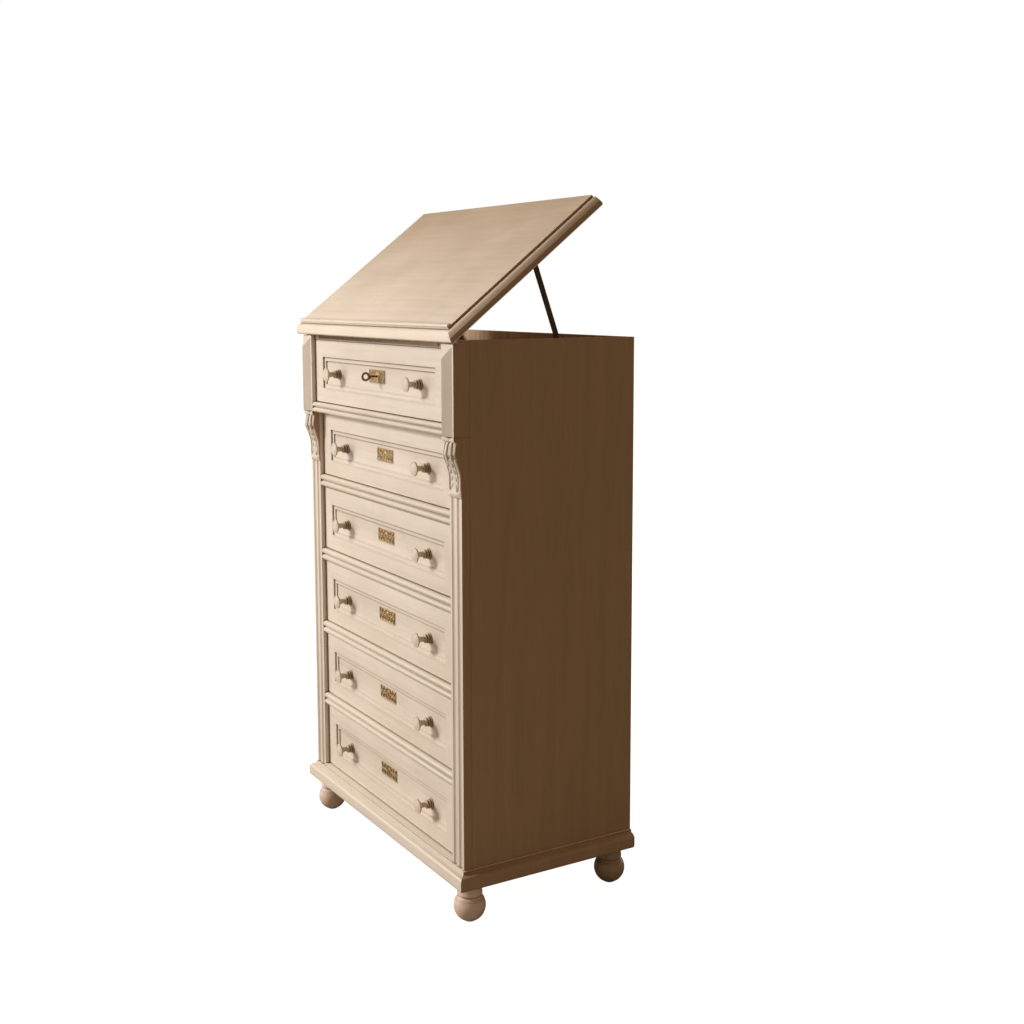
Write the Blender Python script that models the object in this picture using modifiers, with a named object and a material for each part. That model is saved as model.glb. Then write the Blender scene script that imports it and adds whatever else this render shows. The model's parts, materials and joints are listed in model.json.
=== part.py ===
"""Tall chest of six drawers with a propped lectern lid, modelled piece by piece in metres.

X runs along the front, Y from front to back, Z up. The origin is on the floor under the middle.
"""

from math import acos, cos, degrees, pi, radians, sin, sqrt, tan

import bmesh
import bpy
from mathutils import Matrix

# Carcass
CASE_WIDTH = 0.800
CASE_DEPTH = 0.441
SIDE_THICKNESS = 0.020
BACK_THICKNESS = 0.010
FLOOR_THICKNESS = 0.0085
STILE_WIDTH = 0.0525
STILE_THICKNESS = 0.020
UPPER_PROJECTION = 0.018
GAP = 0.0003

# Drawer openings and the rails between them, counted from the top
DRAWER_COUNT = 6
TOP_OPENING = 0.158
LOWER_OPENING = 0.162
TOP_RAIL_HEIGHT = 0.018
TOP_RAIL_DEPTH = 0.048
CORNICE_HEIGHT = 0.025
DIVIDER_HEIGHT = 0.030
RAIL_DEPTH = 0.034
BEAD_GROOVE = 0.002
DUST_BOARD = 0.014
GUIDE_HEIGHT = 0.012

# Pilasters, upper posts and corbels
FLUTE_WIDTH = 0.014
FLUTE_DEPTH = 0.004
FLUTE_SPACING = 0.024
PRISM_RIDGE = 0.014
PRISM_MARGIN = 0.002
HIP_LENGTH = 0.029
REBATE_DEPTH = 0.010
REBATE_HEIGHT = 0.007
CORBEL_HEIGHT = 0.127
CORBEL_SIDE_MARGIN = 0.001
COLLAR_HEIGHT = 0.009
COLLAR_REACH = 0.019
LEAF_REACH = 0.021
LEAF_HEIGHT = 0.022
SWEEP_HEIGHT = 0.056
WAIST_REACH = 0.003
SCROLL_REACH = 0.005
CORBEL_FOOT_HEIGHT = 0.010
CORBEL_FOOT_REACH = 0.007

# Plinth and feet
PLINTH_HEIGHT = 0.042
PLINTH_PROJECTION = 0.018
FASCIA_HEIGHT = 0.034
FASCIA_STEP = 0.004
FOOT_HEIGHT = 0.084
FOOT_RADIUS = 0.0355
FOOT_BALL_HEIGHT = 0.034
FOOT_BASE_RADIUS = 0.014
FOOT_NECK_RADIUS = 0.0255
FOOT_COLLAR_RADIUS = 0.027
FOOT_COLLAR_HEIGHT = 0.023
FOOT_INSET_X = 0.0265
FOOT_INSET_FRONT = 0.028
FOOT_INSET_BACK = 0.040

# Drawers
DRAWER_RECESS = 0.011
FRONT_THICKNESS = 0.022
FRONT_CLEARANCE = 0.001
FIELD_BORDER_X = 0.0465
FIELD_HEIGHT = 0.078
FIELD_DROP = 0.002
FIELD_SINK = 0.004
FIELD_FLAT = 0.010
FIELD_STEP = 0.003
BOX_BACK_CLEARANCE = 0.018
BOX_TOP_CLEARANCE = 0.011
BOX_WALL = 0.012
BOX_BOTTOM = 0.008
SLIDE_CLEARANCE = 0.0015
KNOB_SPREAD = 0.432
KNOB_DROP = 0.003
KNOB_REACH = 0.032
KNOB_HEAD_RADIUS = 0.0165
KNOB_DOME = 0.003
KNOB_RIM = 0.0015
KNOB_FLARE = 0.012
KNOB_NECK_RADIUS = 0.0065
KNOB_RING_RADIUS = 0.0095
KNOB_RING_HEIGHT = 0.004
KNOB_BASE_RADIUS = 0.012
KNOB_BASE_HEIGHT = 0.005
PLATE_WIDTH = 0.084
PLATE_HEIGHT = 0.030
PLATE_THICKNESS = 0.0015
PLATE_RISE = 0.003
KEYHOLE_RADIUS = 0.0030
KEYHOLE_SLOT = 0.010
KEYHOLE_SLOT_WIDTH = 0.003

# Key and bolt of the top drawer
KEY_REACH = 0.0335
KEY_BOW_RADIUS = 0.0085
KEY_BOW_WIRE = 0.0022
KEY_SHANK_RADIUS = 0.0025
KEY_NECK = 0.0033
KEY_COLLAR_RADIUS = 0.004
KEY_COLLAR_LENGTH = 0.0025
KEY_BIT_LENGTH = 0.008
KEY_BIT_WIDTH = 0.0035
KEY_BIT_THICKNESS = 0.002
LOCK_POCKET_WIDTH = 0.040
LOCK_POCKET_HEIGHT = 0.032
LOCK_SKIN = 0.0045
BOLT_WIDTH = 0.016
BOLT_THICKNESS = 0.003
BOLT_TAIL = 0.012
BOLT_THROW = 0.008
BOLT_CLEARANCE = 0.0005
BIT_CLEARANCE = 0.001

# Lid, shown propped open
LID_ANGLE = radians(38.2)
LID_SIDE_OVERHANG = 0.0135
LID_BACK_OVERHANG = 0.0075
LID_NOSE = 0.013
LID_EDGE_HEIGHT = 0.023
LID_LOWER_ROUND = 0.008
LID_EDGE_BULGE = 0.0035
LID_FIELD_INSET = 0.0205
LID_FIELD_RISE = 0.0055
LID_QUIRK = 0.0015
LID_SEAT_GAP = 0.0005
LEDGE_DEPTH = 0.010
LEDGE_HEIGHT = 0.005
LEDGE_ROUND = 0.004

# Strip hinge along the front top edge
HINGE_SETBACK = 0.0055
HINGE_DROP = 0.003
HINGE_LENGTH = 0.640
HINGE_KNUCKLES = 9
HINGE_JOINT = 0.0006
KNUCKLE_RADIUS = 0.0026
HINGE_PIN_RADIUS = 0.0012
HINGE_PIN_CLEARANCE = 0.0003
LEAF_THICKNESS = 0.0012
LEAF_WIDTH = 0.014

# Stay and the well that takes it
WELL_DEPTH = 0.030
WELL_FLOOR = 0.010
STAY_PIVOT_REACH = 0.265
STAY_PIVOT_DROP = 0.014
STAY_LEAN = radians(19.8)
STAY_FOOT_DEPTH = 0.0065
STAY_SIDE_GAP = 0.0105
STAY_WIDTH = 0.012
STAY_THICKNESS = 0.004
STAY_PIN_RADIUS = 0.0025
STAY_PIN_LENGTH = 0.008
PIVOT_RADIUS = 0.002
PIVOT_CLEARANCE = 0.0003
PIVOT_HEAD_RADIUS = 0.0035
PIVOT_HEAD_THICKNESS = 0.0012
EAR_THICKNESS = 0.004
EAR_WIDTH = 0.012
BRACKET_LENGTH = 0.036
BRACKET_WIDTH = 0.018
BRACKET_THICKNESS = 0.002
SEAT_LENGTH = 0.016
SEAT_SLOPE = radians(16)

# Facets and shading of round work
SMOOTH_ANGLE = radians(35)
ARC_STEPS = 6
KNOB_STEPS = 14
FOOT_STEPS = 18
SMALL_STEPS = 12
BOW_STEPS = 18

# Planes and levels worked out from the sizes above
HALF_CASE = CASE_WIDTH / 2
HALF_OPENING = HALF_CASE - STILE_WIDTH
HALF_INSIDE = HALF_CASE - SIDE_THICKNESS - GAP
UPPER_DRAWER_SETBACK = DRAWER_RECESS - UPPER_PROJECTION
FRONT_Y = -(CASE_DEPTH + UPPER_DRAWER_SETBACK - KEY_REACH) / 2
UPPER_FRONT_Y = FRONT_Y - UPPER_PROJECTION
STILE_BACK_Y = FRONT_Y + STILE_THICKNESS
BACK_Y = FRONT_Y + CASE_DEPTH
BACK_FACE_Y = BACK_Y - BACK_THICKNESS
PLINTH_TOP = FOOT_HEIGHT + PLINTH_HEIGHT
FLOOR_TOP = PLINTH_TOP + FLOOR_THICKNESS
CORNICE_BOTTOM = FLOOR_TOP + (DRAWER_COUNT - 1) * LOWER_OPENING + (DRAWER_COUNT - 2) * DIVIDER_HEIGHT
CORNICE_TOP = CORNICE_BOTTOM + CORNICE_HEIGHT
TOP_RAIL_BOTTOM = CORNICE_TOP + TOP_OPENING
CASE_TOP = TOP_RAIL_BOTTOM + TOP_RAIL_HEIGHT
REBATE_FLOOR = CASE_TOP - REBATE_HEIGHT
WELL_FLOOR_TOP = CASE_TOP - WELL_DEPTH
BOX_DEPTH = CASE_DEPTH - BACK_THICKNESS - DRAWER_RECESS - FRONT_THICKNESS - BOX_BACK_CLEARANCE
BOX_HEIGHT = TOP_OPENING + TOP_RAIL_HEIGHT - WELL_DEPTH - WELL_FLOOR - BOX_TOP_CLEARANCE
FIELD_DEPTH = FIELD_SINK + FIELD_STEP
PANEL_Y = FIELD_DEPTH - GAP
HINGE_Y = UPPER_FRONT_Y + HINGE_SETBACK
HINGE_Z = CASE_TOP - HINGE_DROP
LID_BOTTOM = HINGE_DROP + LID_SEAT_GAP
LID_TOP = LID_BOTTOM + LID_EDGE_HEIGHT + LID_FIELD_RISE
LID_HALF_WIDTH = HALF_CASE + LID_SIDE_OVERHANG
LID_BACK = BACK_Y + LID_BACK_OVERHANG - HINGE_Y
STAY_X = HALF_INSIDE - STAY_SIDE_GAP - STAY_THICKNESS / 2
STAY_PIVOT_Z = LID_BOTTOM - STAY_PIVOT_DROP

PARTS = bpy.data.collections.new("secretaire_chest")
TOOLS = bpy.data.collections.new("cutters")


def clear_scene():
    for obj in list(bpy.data.objects):
        bpy.data.objects.remove(obj, do_unlink=True)
    for collection in (PARTS, TOOLS):
        bpy.context.scene.collection.children.link(collection)


def make_material(name, colour, roughness, metallic):
    material = bpy.data.materials.new(name)
    material.use_nodes = True
    shader = material.node_tree.nodes["Principled BSDF"]
    shader.inputs["Base Color"].default_value = (*colour, 1.0)
    shader.inputs["Roughness"].default_value = roughness
    shader.inputs["Metallic"].default_value = metallic
    material.diffuse_color = (*colour, 1.0)
    return material


CREAM_PAINT = make_material("cream_paint", (0.72, 0.60, 0.46), 0.55, 0.0)
SIDE_STAIN = make_material("brown_side_stain", (0.30, 0.18, 0.10), 0.60, 0.0)
BARE_WOOD = make_material("bare_wood", (0.52, 0.36, 0.21), 0.70, 0.0)
BRASS = make_material("brass", (0.55, 0.38, 0.15), 0.38, 1.0)
DARK_IRON = make_material("dark_iron", (0.07, 0.055, 0.04), 0.50, 0.9)


def joint_empty(name, location, rotation=(0, 0, 0), parent=None):
    empty = bpy.data.objects.new(name, None)
    PARTS.objects.link(empty)
    empty.parent = parent
    empty.location = location
    empty.rotation_euler = rotation
    return empty


def add_part(name, mesh, material, parent=None, location=(0, 0, 0), rotation=(0, 0, 0)):
    mesh.materials.clear()
    mesh.materials.append(material)
    mesh.shade_smooth()
    mesh.set_sharp_from_angle(angle=SMOOTH_ANGLE)
    part = bpy.data.objects.new(name, mesh)
    PARTS.objects.link(part)
    part.parent = parent
    part.location = location
    part.rotation_euler = rotation
    return part


def evaluated_mesh(obj):
    graph = bpy.context.evaluated_depsgraph_get()
    return bpy.data.meshes.new_from_object(obj.evaluated_get(graph))


def weld(mesh):
    bm = bmesh.new()
    bm.from_mesh(mesh)
    bmesh.ops.remove_doubles(bm, verts=bm.verts, dist=1e-7)
    bmesh.ops.recalc_face_normals(bm, faces=bm.faces)
    bm.to_mesh(mesh)
    bm.free()
    return mesh


def box_mesh(low, high):
    bm = bmesh.new()
    size = [b - a for a, b in zip(low, high)]
    middle = [(a + b) / 2 for a, b in zip(low, high)]
    bmesh.ops.create_cube(bm, size=1.0, matrix=Matrix.Translation(middle) @ Matrix.Diagonal((*size, 1.0)))
    mesh = bpy.data.meshes.new("box")
    bm.to_mesh(mesh)
    bm.free()
    return mesh


# Local axes of an outline: its two coordinates, then the direction in which it is extruded
AXES = {
    "X": Matrix(((0, 0, 1), (1, 0, 0), (0, 1, 0))).to_4x4(),
    "Y": Matrix(((1, 0, 0), (0, 0, -1), (0, 1, 0))).to_4x4(),
    "Z": Matrix.Identity(4),
}


def prism_mesh(outlines, axis, start, end):
    """Flat outline, with any further outlines as holes, extruded from start to end along one axis."""
    curve = bpy.data.curves.new("outline", "CURVE")
    curve.dimensions = "2D"
    curve.fill_mode = "BOTH"
    curve.extrude = (end - start) / 2
    for outline in outlines:
        spline = curve.splines.new("POLY")
        spline.points.add(len(outline) - 1)
        for point, (a, b) in zip(spline.points, outline):
            point.co = (a, b, 0.0, 1.0)
        spline.use_cyclic_u = True
    obj = bpy.data.objects.new("outline", curve)
    TOOLS.objects.link(obj)
    mesh = evaluated_mesh(obj)
    bpy.data.objects.remove(obj)
    middle = (start + end) / 2
    along = -middle if axis == "Y" else middle
    mesh.transform(AXES[axis] @ Matrix.Translation((0, 0, along)))
    return weld(mesh)


def stacked_mesh(layers, turn=None):
    """Solid through a stack of rectangles (x0, x1, y0, y1, z), made by extruding one face again and again."""
    bm = bmesh.new()
    bmesh.ops.create_grid(bm, x_segments=1, y_segments=1, size=1.0)
    face = bm.faces[:][0]
    place_corners(face.verts, layers[0])
    for layer in layers[1:]:
        grown = bmesh.ops.extrude_face_region(bm, geom=[face], use_keep_orig=True)["geom"]
        covered = face
        face = next(item for item in grown if isinstance(item, bmesh.types.BMFace))
        place_corners(face.verts, layer)
        if layer is not layers[1]:
            bmesh.ops.delete(bm, geom=[covered], context="FACES_ONLY")
    mesh = bpy.data.meshes.new("stack")
    bm.to_mesh(mesh)
    bm.free()
    if turn:
        mesh.transform(turn)
    return weld(mesh)


def place_corners(corners, layer):
    x0, x1, y0, y1, z = layer
    middle_x = sum(v.co.x for v in corners) / 4
    middle_y = sum(v.co.y for v in corners) / 4
    for v in corners:
        v.co = (x0 if v.co.x < middle_x else x1, y0 if v.co.y < middle_y else y1, z)


def turned_mesh(profile, steps):
    """Profile of (radius, height) points, from the top down to the base, turned about the Z axis."""
    line = bpy.data.meshes.new("profile")
    points = [(radius, 0.0, height) for radius, height in profile]
    line.from_pydata(points, [(i, i + 1) for i in range(len(points) - 1)], [])
    obj = bpy.data.objects.new("turned", line)
    TOOLS.objects.link(obj)
    screw = obj.modifiers.new("turn", "SCREW")
    screw.axis = "Z"
    screw.steps = steps
    screw.render_steps = steps
    screw.use_merge_vertices = True
    screw.merge_threshold = 0.00001
    mesh = evaluated_mesh(obj)
    bpy.data.objects.remove(obj)
    return mesh


def combined(mesh, *tools):
    """Mesh after each (operation, tool mesh) in turn has been cut from it or joined to it."""
    body = bpy.data.objects.new("body", mesh)
    TOOLS.objects.link(body)
    helpers = []
    for operation, tool in tools:
        helper = bpy.data.objects.new("tool", tool)
        TOOLS.objects.link(helper)
        helpers.append(helper)
        step = body.modifiers.new("step", "BOOLEAN")
        step.operation = operation
        step.object = helper
    result = evaluated_mesh(body)
    for helper in (body, *helpers):
        bpy.data.objects.remove(helper)
    return result


def arc(centre, radius, start, end, steps=ARC_STEPS):
    """Points on a round stretch of an outline, angles in degrees."""
    angles = [radians(start + (end - start) * i / steps) for i in range(steps + 1)]
    return [(centre[0] + radius * cos(a), centre[1] + radius * sin(a)) for a in angles]


def circle(centre, radius, steps):
    return arc(centre, radius, 0, 360, steps)[:-1]


# Carcass panels

def build_panels():
    inner = HALF_CASE - SIDE_THICKNESS
    for name, x0, x1 in (("left_side", -HALF_CASE, -inner), ("right_side", inner, HALF_CASE)):
        low = (x0, STILE_BACK_Y + GAP, PLINTH_TOP + GAP)
        add_part(name, box_mesh(low, (x1, BACK_Y, CASE_TOP)), SIDE_STAIN)
    low = (-HALF_INSIDE, BACK_FACE_Y, PLINTH_TOP + GAP)
    add_part("back_panel", box_mesh(low, (HALF_INSIDE, BACK_Y, CASE_TOP)), BARE_WOOD)


def board_with_guides(top, thickness):
    """Board under a drawer, from side to side, with the two strips that guide the drawer."""
    outline = [
        (-HALF_INSIDE, top - thickness), (HALF_INSIDE, top - thickness),
        (HALF_INSIDE, top + GUIDE_HEIGHT), (HALF_OPENING, top + GUIDE_HEIGHT), (HALF_OPENING, top),
        (-HALF_OPENING, top), (-HALF_OPENING, top + GUIDE_HEIGHT), (-HALF_INSIDE, top + GUIDE_HEIGHT),
    ]
    return prism_mesh([outline], "Y", STILE_BACK_Y + GAP, BACK_FACE_Y - GAP)


def rail_outline(front, bottom, height, depth):
    """Rail section with two beads along its front edge and a groove between them."""
    bead = (height - BEAD_GROOVE) / 4
    top = bottom + height
    points = [(front + depth, bottom)]
    points += arc((front + bead, bottom + bead), bead, 270, 90)
    points += arc((front + bead, top - bead), bead, 270, 90)
    points.append((front + depth, top))
    return points


def build_dividers():
    rail_end = HALF_OPENING - GAP
    top = CORNICE_TOP
    for i in range(1, DRAWER_COUNT):
        height = CORNICE_HEIGHT if i == 1 else DIVIDER_HEIGHT
        front = UPPER_FRONT_Y if i == 1 else FRONT_Y
        depth = RAIL_DEPTH + FRONT_Y - front
        rail = prism_mesh([rail_outline(front, top - height, height, depth)], "X", -rail_end, rail_end)
        board = board_with_guides(top, DUST_BOARD)
        add_part(f"drawer_divider_{i}", combined(board, ("UNION", rail)), CREAM_PAINT)
        top -= height + LOWER_OPENING
    lip = box_mesh((-rail_end, FRONT_Y, PLINTH_TOP + GAP), (rail_end, FRONT_Y + RAIL_DEPTH, FLOOR_TOP))
    board = board_with_guides(FLOOR_TOP, FLOOR_THICKNESS - GAP)
    add_part("bottom_board", combined(board, ("UNION", lip)), CREAM_PAINT)


def rebated_outline(bottom, back):
    """Section of an upper post, with a step along its front top edge that clears the lid."""
    step = UPPER_FRONT_Y + REBATE_DEPTH
    return [
        (UPPER_FRONT_Y, bottom), (back, bottom), (back, CASE_TOP),
        (step, CASE_TOP), (step, REBATE_FLOOR), (UPPER_FRONT_Y, REBATE_FLOOR),
    ]


def bolt_y():
    """Front face of the bolt, behind the sweep of the key's bit, measured from the drawer's front plane."""
    return FIELD_DEPTH + LOCK_SKIN + KEY_BIT_WIDTH + 2 * BIT_CLEARANCE


def build_top():
    rail_end = HALF_OPENING - GAP
    rail_front = UPPER_FRONT_Y + REBATE_DEPTH
    rail_back = UPPER_FRONT_Y + TOP_RAIL_DEPTH
    rail = box_mesh((-rail_end, rail_front, TOP_RAIL_BOTTOM), (rail_end, rail_back, CASE_TOP))
    half_mortise = BOLT_WIDTH / 2 + BOLT_CLEARANCE
    mortise_y = FRONT_Y + UPPER_DRAWER_SETBACK + bolt_y() - BOLT_CLEARANCE
    mortise = box_mesh(
        (-half_mortise, mortise_y, TOP_RAIL_BOTTOM - GAP),
        (half_mortise, mortise_y + BOLT_THICKNESS + 2 * BOLT_CLEARANCE, TOP_RAIL_BOTTOM + BOLT_THROW),
    )
    add_part("top_rail", combined(rail, ("DIFFERENCE", mortise)), CREAM_PAINT)
    low = (-HALF_INSIDE, rail_back + GAP, WELL_FLOOR_TOP - WELL_FLOOR)
    board = box_mesh(low, (HALF_INSIDE, BACK_FACE_Y - GAP, WELL_FLOOR_TOP))
    add_part("top_board", combined(board, ("UNION", stay_seat())), SIDE_STAIN)


# Pilasters, posts and corbels

def mirrored_pair(name, mesh, material):
    """The piece as modelled on the right, and its mirror image on the left."""
    left = mesh.copy()
    left.transform(Matrix.Scale(-1, 4, (1, 0, 0)))
    left.flip_normals()
    add_part(f"{name}_left", left, material)
    add_part(f"{name}_right", mesh, material)


def pilaster_outline():
    """Plan of the right pilaster: a board with two hollow flutes down its front."""
    half = FLUTE_WIDTH / 2
    radius = (half * half + FLUTE_DEPTH * FLUTE_DEPTH) / (2 * FLUTE_DEPTH)
    middle = HALF_OPENING + STILE_WIDTH / 2
    points = [(HALF_CASE, FRONT_Y), (HALF_CASE, STILE_BACK_Y)]
    points += [(HALF_OPENING, STILE_BACK_Y), (HALF_OPENING, FRONT_Y)]
    for side in (-1, 1):
        x = middle + side * FLUTE_SPACING / 2
        for i in range(ARC_STEPS + 1):
            dx = half * (2 * i / ARC_STEPS - 1)
            dip = sqrt(radius * radius - dx * dx) - (radius - FLUTE_DEPTH)
            points.append((x + dx, FRONT_Y + max(dip, 0.0)))
    return points


def post_mesh():
    """Right upper post: a rebated block with a raised triangular prism, hipped at its top."""
    bottom = CORNICE_BOTTOM + GAP
    block = prism_mesh([rebated_outline(bottom, STILE_BACK_Y)], "X", HALF_OPENING, HALF_CASE)
    middle = HALF_OPENING + STILE_WIDTH / 2
    half = STILE_WIDTH / 2 - PRISM_MARGIN
    root = UPPER_FRONT_Y + PRISM_MARGIN
    section = [(middle - half, root), (middle, UPPER_FRONT_Y - PRISM_RIDGE), (middle + half, root)]
    prism = prism_mesh([section], "Z", bottom + PRISM_MARGIN, REBATE_FLOOR - PRISM_MARGIN)
    top = max(v.co.z for v in prism.vertices)
    ridge = min(v.co.y for v in prism.vertices)
    for v in prism.vertices:
        if v.co.z == top and v.co.y == ridge:
            v.co.z -= HIP_LENGTH
    return combined(block, ("UNION", prism))


def corbel_outline():
    """Side view of a corbel: collar, leaf, S-shaped sweep back to a thin waist, scroll and foot block."""
    back = FRONT_Y - GAP
    top = CORNICE_BOTTOM - GAP
    leaf_top = top - COLLAR_HEIGHT
    sweep_top = leaf_top - LEAF_HEIGHT
    waist = sweep_top - SWEEP_HEIGHT
    bottom = top - CORBEL_HEIGHT
    foot_top = bottom + CORBEL_FOOT_HEIGHT
    points = [(back, top), (FRONT_Y - COLLAR_REACH, top), (FRONT_Y - COLLAR_REACH, leaf_top)]
    points.append((FRONT_Y - LEAF_REACH, leaf_top - GAP))
    steps = 2 * ARC_STEPS
    for i in range(steps + 1):
        share = i / steps
        reach = WAIST_REACH + (LEAF_REACH - WAIST_REACH) * (1 + cos(pi * share)) / 2
        points.append((FRONT_Y - reach, sweep_top - SWEEP_HEIGHT * share))
    for i in range(1, ARC_STEPS + 1):
        share = i / ARC_STEPS
        reach = WAIST_REACH + (SCROLL_REACH - WAIST_REACH) * (1 - cos(pi * share)) / 2
        points.append((FRONT_Y - reach, waist - (waist - foot_top) * share))
    foot_front = FRONT_Y - CORBEL_FOOT_REACH
    return points + [(foot_front, foot_top - GAP), (foot_front, bottom), (back, bottom)]


def build_stiles():
    pilaster = prism_mesh([pilaster_outline()], "Z", PLINTH_TOP + GAP, CORNICE_BOTTOM - GAP)
    mirrored_pair("pilaster", pilaster, CREAM_PAINT)
    mirrored_pair("upper_post", post_mesh(), CREAM_PAINT)
    inner = HALF_OPENING + CORBEL_SIDE_MARGIN
    outer = HALF_CASE - CORBEL_SIDE_MARGIN
    mirrored_pair("corbel", prism_mesh([corbel_outline()], "X", inner, outer), CREAM_PAINT)


# Plinth and feet

def foot_profile():
    """Turned bun foot: collar under the plinth, neck, and a ball that is cut flat on the floor."""
    top = FOOT_HEIGHT - GAP
    collar = top - FOOT_COLLAR_HEIGHT
    points = [(0, top), (FOOT_COLLAR_RADIUS, top), (FOOT_COLLAR_RADIUS, collar)]
    points.append((FOOT_NECK_RADIUS, collar - GAP))
    shoulder = degrees(acos(FOOT_NECK_RADIUS / FOOT_RADIUS))
    base = acos(FOOT_BASE_RADIUS / FOOT_RADIUS)
    points += arc((0, FOOT_BALL_HEIGHT), FOOT_RADIUS, shoulder, 0)
    for i in range(1, ARC_STEPS):
        angle = base * i / ARC_STEPS
        points.append((FOOT_RADIUS * cos(angle), FOOT_BALL_HEIGHT * (1 - sin(angle) / sin(base))))
    return points + [(FOOT_BASE_RADIUS, 0), (0, 0)]


def build_base():
    def layer(projection, z):
        half = HALF_CASE + projection
        return (-half, half, FRONT_Y - projection, BACK_Y, z)

    step_z = FOOT_HEIGHT + FASCIA_HEIGHT
    layers = [layer(PLINTH_PROJECTION, FOOT_HEIGHT), layer(PLINTH_PROJECTION, step_z)]
    rise = PLINTH_TOP - step_z
    run = PLINTH_PROJECTION - FASCIA_STEP
    for i in range(ARC_STEPS + 1):
        angle = pi / 2 * i / ARC_STEPS
        layers.append(layer(run * (1 - sin(angle)), step_z + rise * (1 - cos(angle))))
    add_part("plinth", stacked_mesh(layers), CREAM_PAINT)

    foot = turned_mesh(foot_profile(), FOOT_STEPS)
    across = HALF_CASE - FOOT_INSET_X
    for side, x in (("left", -across), ("right", across)):
        for end, y in (("front", FRONT_Y + FOOT_INSET_FRONT), ("back", BACK_Y - FOOT_INSET_BACK)):
            add_part(f"foot_{end}_{side}", foot, CREAM_PAINT, location=(x, y, 0))


# Drawers, each in its own frame: y from the front plane, z from the floor of its opening

def front_mesh(opening):
    """Drawer front with a field sunk in two square steps."""
    half = HALF_OPENING - FRONT_CLEARANCE
    field_half = HALF_OPENING - FIELD_BORDER_X
    field_z = opening / 2 - FIELD_DROP

    def field(inset, depth):
        rise = FIELD_HEIGHT / 2 - inset
        return (-field_half + inset, field_half - inset, field_z - rise, field_z + rise, -depth)

    bottom = FRONT_CLEARANCE
    top = opening - FRONT_CLEARANCE
    layers = [(-half, half, bottom, top, -FRONT_THICKNESS), (-half, half, bottom, top, 0)]
    layers += [field(0, 0), field(0, FIELD_SINK)]
    layers += [field(FIELD_FLAT, FIELD_SINK), field(FIELD_FLAT, FIELD_DEPTH)]
    return stacked_mesh(layers, turn=AXES["Y"])


def top_front_mesh():
    """Front of the top drawer, with the key's bore, the lock pocket behind it and the slot for the bolt."""
    key_z = TOP_OPENING / 2 + PLATE_RISE
    pocket_y = FIELD_DEPTH + LOCK_SKIN
    bore = prism_mesh([circle((0, key_z), KEYHOLE_RADIUS, SMALL_STEPS)], "Y", 0, FRONT_THICKNESS)
    half_pocket = LOCK_POCKET_WIDTH / 2
    pocket = box_mesh(
        (-half_pocket, pocket_y, key_z - LOCK_POCKET_HEIGHT / 2),
        (half_pocket, FRONT_THICKNESS + GAP, key_z + LOCK_POCKET_HEIGHT / 2),
    )
    half_slot = BOLT_WIDTH / 2 + BOLT_CLEARANCE
    slot = box_mesh(
        (-half_slot, bolt_y() - BOLT_CLEARANCE, key_z),
        (half_slot, bolt_y() + BOLT_THICKNESS + BOLT_CLEARANCE, TOP_OPENING),
    )
    cuts = [("DIFFERENCE", tool) for tool in (bore, pocket, slot)]
    return combined(front_mesh(TOP_OPENING), *cuts)


def box_tray_mesh():
    """Sides, back and bottom of a drawer, open at the top and against the front."""
    half = HALF_OPENING - SLIDE_CLEARANCE
    front = FRONT_THICKNESS + GAP
    back = front + BOX_DEPTH
    tray = box_mesh((-half, front, GAP), (half, back, BOX_HEIGHT))
    inside = box_mesh(
        (-half + BOX_WALL, front - BOX_WALL, BOX_BOTTOM),
        (half - BOX_WALL, back - BOX_WALL, BOX_HEIGHT + BOX_WALL),
    )
    return combined(tray, ("DIFFERENCE", inside))


def knob_profile():
    """Turned trumpet knob: domed face, thin rim, flare to the neck, ring and base, on the sunk field."""
    tip = PANEL_Y + KNOB_REACH
    rim = tip - KNOB_DOME
    flare = rim - KNOB_RIM
    ring_top = KNOB_BASE_HEIGHT + KNOB_RING_HEIGHT
    points = [(0, tip)]
    for i in range(1, ARC_STEPS // 2 + 1):
        share = 2 * i / ARC_STEPS
        points.append((KNOB_HEAD_RADIUS * share, tip - KNOB_DOME * share * share))
    for i in range(ARC_STEPS + 1):
        angle = pi / 2 * i / ARC_STEPS
        radius = KNOB_HEAD_RADIUS - (KNOB_HEAD_RADIUS - KNOB_NECK_RADIUS) * sin(angle)
        points.append((radius, flare - KNOB_FLARE * (1 - cos(angle))))
    points.append((KNOB_NECK_RADIUS, ring_top))
    points.append((KNOB_RING_RADIUS, ring_top - KNOB_RING_HEIGHT / 3))
    points.append((KNOB_RING_RADIUS, KNOB_BASE_HEIGHT))
    points.append((KNOB_BASE_RADIUS, KNOB_BASE_HEIGHT / 2))
    return points + [(KNOB_BASE_RADIUS, 0), (0, 0)]


def plate_mesh():
    """Escutcheon plate with a keyhole, its front towards -Y."""
    half_w = PLATE_WIDTH / 2
    half_h = PLATE_HEIGHT / 2
    plate = [(-half_w, -half_h), (half_w, -half_h), (half_w, half_h), (-half_w, half_h)]
    half_slot = KEYHOLE_SLOT_WIDTH / 2
    shoulder = degrees(acos(half_slot / KEYHOLE_RADIUS))
    hole = arc((0, 0), KEYHOLE_RADIUS, -shoulder, 180 + shoulder, SMALL_STEPS)
    hole += [(-half_slot, -KEYHOLE_SLOT), (half_slot, -KEYHOLE_SLOT)]
    return prism_mesh([plate, hole], "Y", -PLATE_THICKNESS, 0)


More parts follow.
